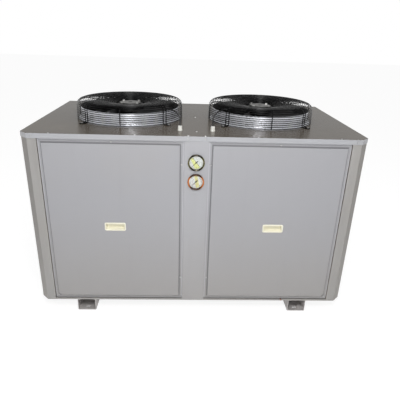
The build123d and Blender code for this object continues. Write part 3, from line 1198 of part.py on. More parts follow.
nodes = {
    "base_pan": base_pan(), "foot_rail_left": foot_rail(-1), "foot_rail_right": foot_rail(1),
    "front_post_left": front_post(), "front_post_right": front_post_right(),
    "rear_post_left": rear_post(), "rear_post_right": mirrored(rear_post()),
    "centre_mullion": centre_mullion(), "front_top_rail": front_top_rail(), "front_sill": front_sill(),
    "side_top_rails": [side_top_rail(), mirrored(side_top_rail())], "rear_top_rail": rear_top_rail(),
    "roof_pan": roof_pan(), "roof_rivets": roof_rivets(), "cable_glands": cable_glands(),
    "fan_bolts": fan_bolts(),
    "coil_fins_rear": rear_coil(), "coil_end_plates": coil_end_plates(), "coil_headers": coil_headers(),
    "compressor_shell": compressor_shell(), "compressor_mounts": compressor_mounts(),
    "compressor_terminal_box": terminal_box(), "liquid_receiver": liquid_receiver(),
    "suction_accumulator": suction_accumulator(), "filter_drier": filter_drier(),
    "sight_glass": sight_glass(), "suction_pipes": suction_pipes(), "discharge_pipe": discharge_pipe(),
    "liquid_pipes": liquid_pipes(), "electrical_box": electrical_box(), "pipe_grommets": grommets(),
    "drain_spigot": drain_spigot(),
}
for name, piece in (("fan_ring", fan_ring()), ("fan_guard", fan_guard()), ("motor_plate", motor_plate()),
                    ("motor_stator", motor_stator()), ("motor_cable", motor_cable()),
                    ("access_panel", access_panel()), ("panel_screws", panel_screws()),
                    ("pull_handle", pull_handle()), ("coil_fins", side_coil())):
    nodes.update(both_sides(name, piece))
rotor, blades = motor_rotor(), fan_blades()
for name, sign in (("left", -1), ("right", 1)):
    shift = Pos((sign - 1) * FAN_X, 0, 0)
    nodes["motor_rotor_" + name] = shift * rotor
    nodes["fan_blades_" + name] = shift * blades
for name, z in (("low", GAUGE_LOW_Z), ("high", GAUGE_HIGH_Z)):
    nodes["gauge_case_" + name] = gauge_case(z)
    nodes["gauge_pointer_" + name] = gauge_pointer(z)
nodes["gauge_dials"] = [gauge_dial(GAUGE_LOW_Z), gauge_dial(GAUGE_HIGH_Z)]
nodes["gauge_glasses"] = [gauge_glass(GAUGE_LOW_Z), gauge_glass(GAUGE_HIGH_Z)]

os.makedirs("parts", exist_ok=True)
for name, piece in nodes.items():
    if isinstance(piece, list):
        piece = Compound(children=piece)
    export_step(piece, "parts/" + name + ".step")
print(len(nodes), "nodes")
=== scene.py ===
"""Looks of a two-fan air-cooled condensing unit, dressed round its fixed frame. Metres, Z up, front towards -Y."""

import math

import bmesh
import bpy
import numpy as np
from mathutils import Matrix, Vector


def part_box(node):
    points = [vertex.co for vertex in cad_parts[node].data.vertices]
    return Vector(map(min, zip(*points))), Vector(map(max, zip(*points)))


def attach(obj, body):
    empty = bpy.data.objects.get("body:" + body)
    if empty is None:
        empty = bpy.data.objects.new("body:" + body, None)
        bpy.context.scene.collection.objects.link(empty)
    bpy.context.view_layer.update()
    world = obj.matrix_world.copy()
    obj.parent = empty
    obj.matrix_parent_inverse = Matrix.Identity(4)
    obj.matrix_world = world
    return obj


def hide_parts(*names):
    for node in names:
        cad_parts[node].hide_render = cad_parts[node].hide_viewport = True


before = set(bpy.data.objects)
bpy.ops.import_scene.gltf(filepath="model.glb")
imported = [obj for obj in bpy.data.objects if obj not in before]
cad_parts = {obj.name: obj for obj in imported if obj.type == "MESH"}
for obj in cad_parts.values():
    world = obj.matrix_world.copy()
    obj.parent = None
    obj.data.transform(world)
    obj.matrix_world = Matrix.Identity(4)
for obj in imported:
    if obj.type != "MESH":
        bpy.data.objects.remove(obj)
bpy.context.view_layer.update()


# ---------------------------------------------------------------- places, from the frame
def corners(node):
    """Lowest and highest corner of a frame node as arrays."""
    low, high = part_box(node)
    return np.array(low), np.array(high)


ROOF_LOW, ROOF_HIGH = corners("roof_pan")
ROOF_TOP = ROOF_HIGH[2]
FRONT = ROOF_LOW[1]
SIDES = (("left", -1), ("right", 1))
FAN_RING_LOW, FAN_RING_HIGH = corners("fan_ring_right")
FAN_X, FAN_Y = (FAN_RING_LOW[:2] + FAN_RING_HIGH[:2]) / 2
PANEL_LOW, PANEL_HIGH = corners("access_panel_right")
HANDLE_LOW, HANDLE_HIGH = corners("pull_handle_right")
RAIL_X = float(np.mean([corner[0] for corner in corners("foot_rail_right")]))

# ---------------------------------------------------------------- sizes
RING_RADIUS = 0.252
RING_SHEET = 0.0015
RING_HEIGHT = 0.0615
RING_FLARE = 0.012
SEAT_GAP = 0.0003           # between a dressed piece and what it seats on

GUARD_RADIUS = 0.2722
GUARD_SIDE_HEIGHT = 0.066
GUARD_SHOULDER = 0.028
GUARD_CREST = 0.0948
GUARD_HUB_RADIUS = 0.068
GUARD_HUB_HEIGHT = 0.071
RING_WIRE = 0.0035
SPOKE_WIRE = 0.0044
WELD_SINK = 0.0004          # how far a spoke is sunk into the rings that it is welded to
SPOKE_SET_IN = RING_WIRE + SPOKE_WIRE / 2 - WELD_SINK
RING_STEPS = 96
SHOULDER_RINGS = (0.24, 0.46, 0.68, 0.9)    # shares of the way from the side to the crest
RING_PITCH = 0.0094
LOW_RING = 0.005
LEG_SPREAD = 0.0092
LEG_TAB = 0.0025
LEG_ANGLE = math.radians(45)
SPOKE_TURN = math.radians(3.5)
FOOT_RADIUS = 0.295
FOOT_BEND = 0.008

BLADE_COUNT = 5
BLADE_ROOT = 0.070
BLADE_TIP = 0.2445
BLADE_MIDDLE = 0.033
BLADE_CHORD = 0.072         # at the root
BLADE_CHORD_GAIN = 0.058    # more at the tip
BLADE_PITCH = 33            # degrees at the root
BLADE_PITCH_LOSS = 14       # degrees less at the tip
BLADE_SWEEP = math.radians(30)
BLADE_THICKNESS = 0.0032

MOTOR_RADIUS = 0.0685
HUB_LOW = 0.013
HUB_HIGH = 0.053
CUP_WALL = 0.007
CUP_FOOT = 0.008
CUP_TOP = 0.058
CUP_CORNER = 0.012
SHAFT_RADIUS = 0.008
SHAFT_TOP = 0.068
POLE = 0.0005               # smallest radius of a turned profile

CABLE_DIAMETER = 0.007
CABLE_ROUTE = [
    (0.2863, -0.0462, 0.9964), (0.2400, -0.0800, 1.0015), (0.1840, -0.1150, 1.0045), (0.1280, -0.1540, 1.0020),
    (0.0960, -0.2080, 0.9965), (0.0800, -0.2620, 0.9885), (0.0758, -0.3030, 0.9810), (0.0760, -0.3183, 0.9665),
    (0.0760, -0.3180, 0.9483)]

FIELD_INSET = 0.017         # a panel's edge to its raised field
PANEL_OUTLINE = [(float(corner[0]), float(corner[2])) for corner in (PANEL_LOW, PANEL_HIGH)]

FIN_PITCH = 0.0025
FIN_SHEET = 0.0003
FIN_SHORT = 0.0005          # each fin stops short of its coil's face by this

# inset from the handle's outline, and height before the panel: rim, then down into the cup
HANDLE_PROFILE = ((0.0, -0.0003), (0.0, 0.0012), (0.0006, 0.0020), (0.0016, 0.0025), (0.0052, 0.0025),
                  (0.0062, 0.0020), (0.0068, 0.0010), (0.0080, -0.0200), (0.0095, -0.0215))
HANDLE_CORNER = 0.008
CUP_BACK = -0.0235
CUP_INSET = 0.00625

GAUGE_RIM = 0.0385
GAUGE_FACE = 0.033
GAUGE_PROUD = 0.010
RIM_ROLL = 0.0030
CASE_DEPTH = 0.030
STEM_RADIUS = 0.005
STEM_DEPTH = 0.045
CARD_RADIUS = 0.0312
CARD_BACK = 0.00105
CARD_FRONT = 0.0013
CARD_RIM = 0.029            # the coloured band stops here


# ---------------------------------------------------------------- surfaces
def grid_faces(rows, columns, close_rows, close_columns):
    """Quads between neighbouring points of a grid, joined end to end where a direction is closed."""
    i = np.arange(rows if close_rows else rows - 1)[:, None]
    j = np.arange(columns if close_columns else columns - 1)[None, :]
    below, beside = (i + 1) % rows, (j + 1) % columns
    quads = [i * columns + j, i * columns + beside, below * columns + beside, below * columns + j]
    return np.stack(np.broadcast_arrays(*quads), -1).reshape(-1, 4)


class Shape:
    """Closed surfaces gathered into one mesh."""

    def __init__(self):
        self.points = []
        self.faces = []
        self.count = 0

    def add(self, points, faces):
        """Adds points, an array of any shape ending in 3, and lists of their indices as faces."""
        points = np.asarray(points, float).reshape(-1, 3)
        self.faces += [tuple(int(k) + self.count for k in face) for face in faces]
        self.points.append(points)
        self.count += len(points)

    def surface(self, points, closed_rows=False):
        """Rows of closed loops. Open ends are capped flat, or the last row meets the first."""
        rows, columns = points.shape[:2]
        faces = grid_faces(rows, columns, closed_rows, True).tolist()
        if not closed_rows:
            faces += [list(range(columns - 1, -1, -1)), list(range((rows - 1) * columns, rows * columns))]
        self.add(points, faces)

    def copies(self, other, places):
        """Another shape repeated at each of an array of 4 by 4 places."""
        points = np.concatenate(other.points)
        for place in np.asarray(places):
            self.add(points @ place[:3, :3].T + place[:3, 3], other.faces)
        return self

    def build(self, name, body, finish, slot, stands_for=(), crease=35.0):
        """The mesh object, its faces turned outwards and shaded smooth across edges flatter than the crease."""
        mesh = bpy.data.meshes.new(name)
        mesh.from_pydata(np.concatenate(self.points).tolist(), [], self.faces)
        outwards(mesh)
        return dress(mesh, name, body, finish, stands_for, crease)


def outwards(mesh):
    """Turns the faces of closed surfaces outwards."""
    work = bmesh.new()
    work.from_mesh(mesh)
    bmesh.ops.recalc_face_normals(work, faces=work.faces)
    work.to_mesh(mesh)
    work.free()


def dress(mesh, name, body, finish, stands_for=(), crease=35.0):
    """Puts a mesh into the scene with its finish, riding on its body in place of frame nodes."""
    mesh.polygons.foreach_set("use_smooth", np.ones(len(mesh.polygons), bool))
    mesh.set_sharp_from_angle(angle=math.radians(crease))
    piece = bpy.data.objects.new(name, mesh)
    bpy.context.scene.collection.objects.link(piece)
    piece.data.materials.clear()
    piece.data.materials.append(finish)
    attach(piece, body)
    if stands_for:
        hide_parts(*stands_for)
    return piece


def softened(node, body, finish, width=0.0006, segments=2):
    """A copy of a frame node whose triangles are merged into flat faces and whose edges are slightly rounded."""
    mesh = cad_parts[node].data.copy()
    work = bmesh.new()
    work.from_mesh(mesh)
    bmesh.ops.remove_doubles(work, verts=work.verts, dist=2e-5)
    bmesh.ops.dissolve_limit(work, angle_limit=math.radians(0.5), verts=work.verts, edges=work.edges)
    work.to_mesh(mesh)
    work.free()
    piece = dress(mesh, node + "_sheet", body, finish, (node,))
    bevel = piece.modifiers.new("edges", "BEVEL")
    bevel.width = width
    bevel.segments = segments
    bevel.limit_method = "ANGLE"
    bevel.angle_limit = math.radians(30)
    bevel.use_clamp_overlap = True
    bevel.harden_normals = True
    return piece


def turned(profile, sides):
    """A profile of radius and height carried round the vertical axis."""
    profile = np.asarray(profile, float)
    angle = np.linspace(0, 2 * np.pi, sides, endpoint=False)
    radius, height = profile[:, :1], profile[:, 1:]
    return np.stack([radius * np.cos(angle), radius * np.sin(angle), height + 0 * angle], -1)


def rounded_rectangle(width, height, radius, steps=6):
    """Outline of a rectangle whose corners are quarter circles."""
    turn = np.linspace(0, np.pi / 2, steps)
    corner = np.stack([np.cos(turn), np.sin(turn)], -1) * radius
    loops = []
    for k, (sx, sy) in enumerate(((1, 1), (-1, 1), (-1, -1), (1, -1))):
        quarter = np.array([[0, -1], [1, 0]])
        swing = np.linalg.matrix_power(quarter, k)
        loops.append(corner @ swing.T + [sx * (width / 2 - radius), sy * (height / 2 - radius)])
    return np.concatenate(loops)


def stacked(rows):
    """Rows of a flat outline, each with its height, as one grid of points."""
    return np.stack([np.column_stack([outline, np.full(len(outline), height)]) for outline, height in rows])


def tube(path, radius, sides, across):
    """Circles square to a path. The path never runs along the direction across."""
    path = np.asarray(path, float)
    closed = np.allclose(path[0], path[-1])
    if closed:
        path = path[:-1]
        run = np.roll(path, -1, 0) - np.roll(path, 1, 0)
    else:
        run = np.gradient(path, axis=0)
    run /= np.linalg.norm(run, axis=1, keepdims=True)
    side = np.cross(run, across)
    side /= np.linalg.norm(side, axis=1, keepdims=True)
    up = np.cross(side, run)
    angle = np.linspace(0, 2 * np.pi, sides, endpoint=False)[None, :, None]
    return path[:, None] + radius * (np.cos(angle) * side[:, None] + np.sin(angle) * up[:, None])


def circle(radius, height, steps):
    """A closed level circle round the vertical axis, its last point on its first."""
    angle = np.linspace(0, 2 * np.pi, steps + 1)
    return np.stack([radius * np.cos(angle), radius * np.sin(angle), np.full(steps + 1, height)], -1)


def place(x=0.0, y=0.0, z=0.0, turn=0.0, facing="up"):
    """A 4 by 4 place: turned about its own axis, faced up or to the front, and moved."""
    spin = Matrix.Rotation(turn, 4, "Z")
    tilt = Matrix.Rotation(math.radians(90), 4, "X") if facing == "front" else Matrix.Identity(4)
    return np.array(Matrix.Translation((x, y, z)) @ tilt @ spin)


# ---------------------------------------------------------------- shader sums
class Value:
    """A shader socket that can be used in sums. Each operator adds one Math node."""

    def __init__(self, finish, socket):
        self.finish = finish
        self.socket = socket

    def sum(self, operation, *values):
        """One Math node with this value and others."""
        return self.finish.node("ShaderNodeMath", {"operation": operation}, dict(enumerate((self,) + values)))

    def __add__(self, other):
        return self.sum("ADD", other)

    def __sub__(self, other):
        return self.sum("SUBTRACT", other)

    def __rsub__(self, other):
        return (self * -1) + other

    def __mul__(self, other):
        return self.sum("MULTIPLY", other)

    def __truediv__(self, other):
        return self.sum("DIVIDE", other)

    def __pow__(self, other):
        return self.sum("POWER", other)

    __radd__ = __add__
    __rmul__ = __mul__

    def step(self, low, high):
        """0 below low, 1 above high, and smooth between."""
        found = {"interpolation_type": "SMOOTHSTEP"}
        return self.finish.node("ShaderNodeMapRange", found, {"Value": self, "From Min": low, "From Max": high})


class Finish:
    """A procedural material, written as sums on sockets."""

    def __init__(self, name):
        self.material = bpy.data.materials.new(name)
        self.material.use_nodes = True
        self.tree = self.material.node_tree
        self.tree.nodes.clear()

    def node(self, kind, settings=None, inputs=None, output=0):
        """Adds a node, sets its settings and then its sockets, and gives one of its outputs."""
        node = self.tree.nodes.new(kind)
        for key, setting in (settings or {}).items():
            setattr(node, key, setting)
        for key, value in (inputs or {}).items():
            if isinstance(value, Value):
                self.tree.links.new(value.socket, node.inputs[key])
            else:
                node.inputs[key].default_value = value
        return Value(self, node.outputs[output] if len(node.outputs) else None)

    def where(self, axis=None):
        """The place on the object, or one of its coordinates."""
        place_on = self.node("ShaderNodeTexCoord", output=3)
        if axis is None:
            return place_on
        return self.node("ShaderNodeSeparateXYZ", {}, {0: place_on}, "XYZ".index(axis))

    def facing(self, axis):
        """How much a face looks along an axis, from -1 to 1."""
        normal = self.node("ShaderNodeNewGeometry", output=1)
        return self.node("ShaderNodeSeparateXYZ", {}, {0: normal}, "XYZ".index(axis))

    def level(self):
        """How much a face looks up: 1 for a level top, 0 for a wall."""
        return self.facing("Z")

    def stretched(self, scale):
        """The place on the object with each axis scaled."""
        return self.node("ShaderNodeMapping", {}, {"Vector": self.where(), "Scale": scale})

    def noise(self, scale, detail=3.0, roughness=0.55, vector=None):
        """Fractal noise from 0 to 1, about 0.5."""
        vector = self.where() if vector is None else vector
        return self.node("ShaderNodeTexNoise", {},
                         {"Vector": vector, "Scale": scale, "Detail": detail, "Roughness": roughness})

    def mix(self, factor, one, two):
        """A blend of two colours, one where factor is 0 and two where it is 1."""
        colours = {6: (*one, 1) if isinstance(one, tuple) else one, 7: (*two, 1) if isinstance(two, tuple) else two}
        return self.node("ShaderNodeMix", {"data_type": "RGBA"}, {0: factor, **colours}, 2)

    def bump(self, height, distance, strength=1.0):
        """A normal raised by height times distance."""
        return self.node("ShaderNodeBump", {}, {"Height": height, "Distance": distance, "Strength": strength})

    def close(self, **sockets):
        """The principled shader with named sockets, spaces as underscores, and the material itself."""
        named = {key.replace("_", " "): value for key, value in sockets.items()}
        colour = named.get("Base Color")
        if isinstance(colour, tuple):
            named["Base Color"] = (*colour, 1)
        shader = self.node("ShaderNodeBsdfPrincipled", {}, named)
        self.node("ShaderNodeOutputMaterial", {}, {"Surface": shader})
        return self.material


def linear(red, green, blue):
    """A colour of 0 to 255 values, as it should look, in linear light."""
    return tuple(((c / 255 + 0.055) / 1.055) ** 2.4 if c > 10 else c / 255 / 12.92 for c in (red, green, blue))


def shade(colour, factor):
    """A colour made lighter or darker."""
    return tuple(channel * factor for channel in colour)


# ---------------------------------------------------------------- finishes
def powder_coat(name, colour, roughness, dust, streaks=0.0, peel=0.00012, crown=None, front=None, border=None,
                specular=0.5):
    """Powder coat: orange peel, slow cloudiness in colour and gloss, and dust with streaks that run down.

    A crown is a second colour for the level faces on top, a painted dark reflection. A front one is a second
    colour for the faces towards the front, painted light: lit fronts against shaded sides. A border is a box
    whose outline gets a painted highlight, and a painted shadow line where its raised field begins.
    """
    finish = Finish(name)
    clouds = finish.noise(2.3, 4.0)
    grain = finish.noise(420.0, 2.0)
    runs = finish.noise(1.0, 3.0, vector=finish.stretched((16.0, 16.0, 1.2)))
    rising = (1 - (finish.where("Z") + clouds * 0.25).step(0.10, 0.75)) * 0.42
    low = finish.mix(rising, colour, shade(linear(160, 154, 144), 0.92))
    # painted reflection: the crown colour on faces that look up stands for dark surroundings mirrored in the paint
    base = finish.mix(finish.level().step(0.5, 0.9), low, crown) if crown else low
    # painted light: the front colour on faces towards the front, the base colour left as the shaded sides
    base = finish.mix(1 - finish.facing("Y").step(-0.9, -0.6), base, front) if front else base
    if border:
        (x_low, z_low), (x_high, z_high) = border
        across, up = finish.where("X").sum("ABSOLUTE"), finish.where("Z")
        beside = (across - x_low).sum("MINIMUM", x_high - across)
        inset = beside.sum("MINIMUM", (up - z_low).sum("MINIMUM", z_high - up))
        # painted shadow: a dark line at the foot of the raised field's step
        line = inset.step(FIELD_INSET - 0.0062, FIELD_INSET - 0.0042)
        line = line * (1 - inset.step(FIELD_INSET, FIELD_INSET + 0.001))
        base = finish.mix(line * 0.62, base, shade(colour, 0.30))
        # painted highlight: a bright band along the panel's outline
        base = finish.mix((1 - inset.step(0.003, 0.005)) * 0.7, base, shade(colour, 1.55))
    dusty = finish.mix((clouds.step(0.45, 0.75)) * dust, base, shade(linear(168, 160, 146), 0.9))
    worn = finish.mix(runs.step(0.52, 0.80) * streaks, dusty, shade(colour, 0.72))
    speckled = finish.mix(grain.step(0.62, 0.75) * 0.10, worn, shade(colour, 0.80))
    return finish.close(
        Base_Color=speckled,
        Roughness=roughness + (clouds - 0.5) * 0.16 + (runs - 0.5) * 0.06,
        Specular_IOR_Level=specular,
        Normal=finish.bump(finish.noise(260.0, 1.5), peel))


def galvanised(name, colour, roughness, flake=38.0, metal=0.9):
    """Hot-dip zinc: flat crystals of slightly different grey, drawn lines and dull patches."""
    finish = Finish(name)
    flakes = finish.node("ShaderNodeTexVoronoi", {}, {"Vector": finish.where(), "Scale": flake}, 1)
    tone = finish.node("ShaderNodeSeparateColor", {}, {0: flakes})
    dull = finish.noise(9.0, 4.0).step(0.45, 0.7)
    base = finish.mix(tone, shade(colour, 0.80), shade(colour, 1.12))
    return finish.close(
        Base_Color=finish.mix(dull * 0.35, base, shade(colour, 0.62)),
        Metallic=metal - dull * metal * 0.3,
        Roughness=roughness + tone * 0.12 + dull * 0.14,
        Normal=finish.bump(finish.noise(90.0, 2.0), 0.0002))


def ring_sheet(name, colour, dark):
    """Rolled zinc sheet of the fan rings: fine level lines outside, and near-black painted shade on the inner wall and
    lip.
    """
    finish = Finish(name)
    reach_x = finish.where("X").sum("ABSOLUTE") - float(FAN_X)
    reach_y = finish.where("Y") - float(FAN_Y)
    radius = (reach_x * reach_x + reach_y * reach_y) ** 0.5
    # painted shade: the lip's top and the inner wall turn near black, dull and not metallic, standing in for shadow in
    # the ring
    lip = finish.level().step(0.1, 0.4) * finish.where("Z").sum("GREATER_THAN", float(ROOF_TOP) + RING_HEIGHT / 2)
    inner = (radius.sum("LESS_THAN", RING_RADIUS - RING_SHEET / 2) + lip).sum("MINIMUM", 1.0)
    lines = finish.noise(1.0, 2.0, vector=finish.stretched((3.0, 3.0, 700.0)))
    patches = finish.noise(7.0, 3.0)
    zinc = finish.mix(patches.step(0.4, 0.7) * 0.5, colour, shade(colour, 0.80))
    return finish.close(
        Base_Color=finish.mix(inner, zinc, dark),
        Metallic=0.45 - inner * 0.45,
        Roughness=0.27 + (lines - 0.5) * 0.10 + inner * 0.3,
        Normal=finish.bump(lines, 0.00004))


def brushed(name, colour, roughness, lines=(4.0, 4.0, 900.0), metal=1.0):
    """Drawn or rolled metal with fine lines along its run."""
    finish = Finish(name)
    scratches = finish.noise(1.0, 3.0, vector=finish.stretched(lines))
    patches = finish.noise(14.0, 3.0)
    return finish.close(
        Base_Color=finish.mix(patches * 0.6, colour, shade(colour, 0.72)),
        Metallic=metal,
        Roughness=roughness + (scratches - 0.5) * 0.18 + (patches - 0.5) * 0.12,
        Normal=finish.bump(scratches, 0.00006))


def coated(name, colour, roughness, dust=0.3, texture=150.0, depth=0.0002, specular=0.5):
    """Thick dark paint or dipped coating with dust that settles on faces that look up."""
    finish = Finish(name)
    patches = finish.noise(24.0, 4.0)
    settled = finish.level().step(0.35, 1.0) * patches.step(0.35, 0.75) * dust
    return finish.close(
        Base_Color=finish.mix(settled, colour, linear(120, 116, 108)),
        Roughness=roughness + settled * 0.5 + (patches - 0.5) * 0.14,
        Specular_IOR_Level=specular,
        Normal=finish.bump(finish.noise(texture, 2.0), depth))


def moulded(name, colour, roughness, grain=0.00006):
    """Moulded plastic: fine spark-eroded grain, slight yellowing in patches and a little grime."""
    finish = Finish(name)
    patches = finish.noise(18.0, 3.0)
    grime = finish.noise(70.0, 5.0).step(0.58, 0.78)
    return finish.close(
        Base_Color=finish.mix(grime * 0.18, finish.mix(patches, colour, shade(colour, 0.93)), shade(colour, 0.6)),
        Roughness=roughness + (patches - 0.5) * 0.12,
        Normal=finish.bump(finish.noise(900.0, 1.0), grain))


def plated_rim(name, node, sides, ends):
    """Bright plated rim with a painted reflection: its plated colour at its two sides, darker above and below."""
    finish = Finish(name)
    low, high = corners(node)
    across = finish.where("X")
    up = finish.where("Z") - float((low[2] + high[2]) / 2)
    # painted reflection: the sides colour where the rim runs up and down, the darker ends colour above and below
    share = across * across / (across * across + up * up)
    patches = finish.noise(60.0, 3.0)
    return finish.close(
        Base_Color=finish.mix((share + (patches - 0.5) * 0.8).step(0.25, 0.75), ends, sides),
        Metallic=1.0,
        Roughness=0.16 + (patches - 0.5) * 0.12)


def clear_glass(name):
    """Gauge glass, very slightly smeared."""
    finish = Finish(name)
    smears = finish.noise(60.0, 4.0)
    clear = finish.node("ShaderNodeBsdfTransparent", {}, {"Color": (0.97, 0.98, 0.97, 1)})
    gloss = finish.node("ShaderNodeBsdfPrincipled", {}, {
        "Base Color": (1, 1, 1, 1), "Roughness": 0.04 + smears.step(0.5, 0.8) * 0.10})
    shine = finish.node("ShaderNodeFresnel", {}, {"IOR": 1.45}) * 1.1
    shader = finish.node("ShaderNodeMixShader", {}, {0: shine, 1: clear, 2: gloss})
    finish.node("ShaderNodeOutputMaterial", {}, {"Surface": shader})
    return finish.material


def dial_face(name, centre_z, band_turn, lower):
    """Printed dial, worked out in millimetres from its centre: white card, scale marks and a pale slanting band.

    Marks repeat with the angle. The band lies between two lines, at offsets from one that runs at band_turn.
    """
    finish = Finish(name)
    across = finish.where("X") * 1000.0
    up = (finish.where("Z") - centre_z) * 1000.0
    radius = (across * across + up * up) ** 0.5
    angle = up.sum("ARCTAN2", across)
    divisions = (angle * (40 / (2 * math.pi)) + 40.0).sum("FRACT")
    coarse = (angle * (8 / (2 * math.pi)) + 8.0).sum("FRACT")
    fine_marks = divisions.sum("LESS_THAN", 0.22) * radius.sum("GREATER_THAN", 24.5) * radius.sum("LESS_THAN", 27.0)
    long_marks = coarse.sum("LESS_THAN", 0.075) * radius.sum("GREATER_THAN", 21.5) * radius.sum("LESS_THAN", 27.0)
    inner = radius.sum("GREATER_THAN", 15.4) * radius.sum("LESS_THAN", 16.4)
    paper = finish.mix(finish.noise(120.0) * 0.2, linear(240, 240, 243), linear(222, 220, 212))
    cos_t, sin_t = math.cos(band_turn), math.sin(band_turn)
    along = across * cos_t + up * sin_t
    offset = up * cos_t - across * sin_t
    on_card = radius.sum("LESS_THAN", CARD_RIM * 1000)
    if lower:
        inside = (offset - along * 0.03).sum("LESS_THAN", 12.0) * offset.sum("GREATER_THAN", -3.0)
        ruled = finish.mix(inside * on_card, paper, linear(247, 238, 172))
    else:
        inside = offset.sum("LESS_THAN", 0.0) * (offset + along * 0.21).sum("GREATER_THAN", -17.0)
        edge = offset.sum("LESS_THAN", 1.6) * offset.sum("GREATER_THAN", 0.0)
        coloured = finish.mix(inside * on_card, paper, linear(240, 240, 160))
        ruled = finish.mix(edge * radius.sum("LESS_THAN", 27.0), coloured, linear(92, 96, 70))
    scaled = finish.mix(inner * 0.5, ruled, linear(168, 60, 48) if lower else linear(70, 88, 60))
    marked = finish.mix((fine_marks + long_marks).sum("MINIMUM", 1.0) * 0.8, scaled, linear(104, 60, 48))
    return finish.close(Base_Color=marked, Roughness=0.55 + finish.noise(200.0) * 0.1)


def cable_sheath(name):
    """Round black rubber sheath with a fine extrusion grain and light dust."""
    finish = Finish(name)
    dust = finish.noise(45.0, 4.0).step(0.5, 0.8)
    return finish.close(
        Base_Color=finish.mix(dust * 0.35, linear(26, 26, 27), linear(92, 90, 84)),
        Roughness=0.42 + dust * 0.3,
        Normal=finish.bump(finish.noise(700.0, 1.0), 0.00008))


def pale_floor(name):
    """Studio floor: near white to the camera and in reflections, with the shadow kept, and painted shadow under the
    rails.
    """
    finish = Finish(name)
    ray = finish.node("ShaderNodeLightPath")
    reflected = finish.node("ShaderNodeLightPath", output=3)
    through = finish.node("ShaderNodeLightPath", output=6)
    beside = (finish.where("X").sum("ABSOLUTE") - RAIL_X).sum("ABSOLUTE")
    # painted shadow: no glow on the floor under the foot rails, so it stays dark there
    under = (1 - beside.step(0.026, 0.034)) * (1 - finish.where("Y").sum("ABSOLUTE").step(0.42, 0.43))
    seen = ((ray + reflected + through).sum("MINIMUM", 1.0)) * 0.72 * (1 - under)
    plain = finish.node("ShaderNodeBsdfDiffuse", {}, {"Color": (0.86, 0.86, 0.86, 1)})
    glow = finish.node("ShaderNodeEmission", {}, {"Color": (1, 1, 1, 1), "Strength": 1.20})
    shader = finish.node("ShaderNodeMixShader", {}, {0: seen, 1: plain, 2: glow})
    finish.node("ShaderNodeOutputMaterial", {}, {"Surface": shader})
    return finish.material


GREY_PAINT = powder_coat("grey_powder_coat", linear(166, 166, 170), 0.34, 0.12, 0.08)
# the border gives the panels a painted highlight at their outline and a painted shadow line at the field's step
PANEL_PAINT = powder_coat("panel_powder_coat", linear(160, 160, 164), 0.34, 0.10, 0.06, border=PANEL_OUTLINE)
# the dark crown colour on the roof's level top is a painted reflection
ROOF_PAINT = powder_coat("roof_gloss_paint", linear(170, 171, 175), 0.22, 0.12, crown=linear(86, 79, 70), specular=0.3)
# painted light: the darker base colour stands for shaded sides, the front colour for lit front faces
POST_PAINT = powder_coat("post_paint", linear(108, 103, 98), 0.36, 0.16, 0.12, front=linear(156, 154, 152))
FOOT_ZINC = galvanised("foot_rail_zinc", linear(196, 192, 190), 0.46, metal=0.25)
# the second colour is painted shade for the ring's inner wall and lip
RING_ZINC = ring_sheet("fan_ring_zinc", linear(238, 240, 246), linear(24, 23, 23))
PLATE_ZINC = brushed("zinc_plated_plate", linear(126, 125, 122), 0.34, (600.0, 6.0, 6.0))
SCREW_ZINC = brushed("zinc_plated_screw", linear(190, 190, 190), 0.36, (200.0, 200.0, 200.0))
BOLT_ZINC = brushed("zinc_plated_bolt", linear(244, 243, 240), 0.32, (200.0, 200.0, 200.0))
GUARD_BLACK = coated("dipped_wire_black", linear(11, 11, 12), 0.26, 0.03, specular=0.14)
BLADE_BLACK = coated("blade_black", linear(14, 14, 16), 0.40, 0.06, 90.0, specular=0.3)
MOTOR_BLACK = coated("motor_casting_black", linear(18, 18, 20), 0.46, 0.12, 320.0, 0.0004, 0.3)
CREAM_PLASTIC = moulded("handle_cream_plastic", linear(240, 236, 216), 0.38)
WHITE_PLASTIC = moulded("gland_white_plastic", linear(232, 232, 226), 0.40)
DARK_PLASTIC = moulded("terminal_box_plastic", linear(50, 50, 53), 0.5)
CABLE_RUBBER = cable_sheath("cable_sheath_black")
# the rims' colours are a painted reflection: plated colour at the sides, darker above and below
RIM_OLIVE = plated_rim("gauge_rim_olive", "gauge_case_high", linear(112, 108, 78), linear(60, 56, 48))
RIM_COPPER = plated_rim("gauge_rim_copper", "gauge_case_low", linear(196, 124, 74), linear(78, 58, 46))
POINTER_BLACK = coated("pointer_black", linear(30, 28, 28), 0.5, 0.0)
GAUGE_GLASS = clear_glass("gauge_glass")
FIN_METAL = brushed("fin_aluminium", linear(226, 228, 231), 0.46, (40.0, 40.0, 500.0), metal=0.35)
COPPER = brushed("drawn_copper", linear(196, 128, 92), 0.26, (80.0, 80.0, 80.0))
BRASS = brushed("machined_brass", linear(196, 168, 104), 0.28, (300.0, 300.0, 300.0))
VESSEL_BLACK = coated("vessel_black_enamel", linear(44, 44, 47), 0.30, 0.4)
DRIER_GREY = coated("drier_enamel", linear(150, 156, 164), 0.36, 0.2)
RUBBER = coated("mount_rubber", linear(34, 34, 34), 0.7, 0.3, 400.0)
BOX_PAINT = powder_coat("electrical_box_paint", linear(168, 170, 172), 0.4, 0.1)
TUBE_SHEET_ZINC = galvanised("coil_plate_zinc", linear(150, 152, 153), 0.46, metal=0.6)


# ---------------------------------------------------------------- fan rings and guards
def on_fan(shape, sign):
    """A shape modelled round the vertical axis, moved onto a fan's axis at the roof's top."""
    return Shape().copies(shape, [place(sign * FAN_X, FAN_Y, ROOF_TOP)])


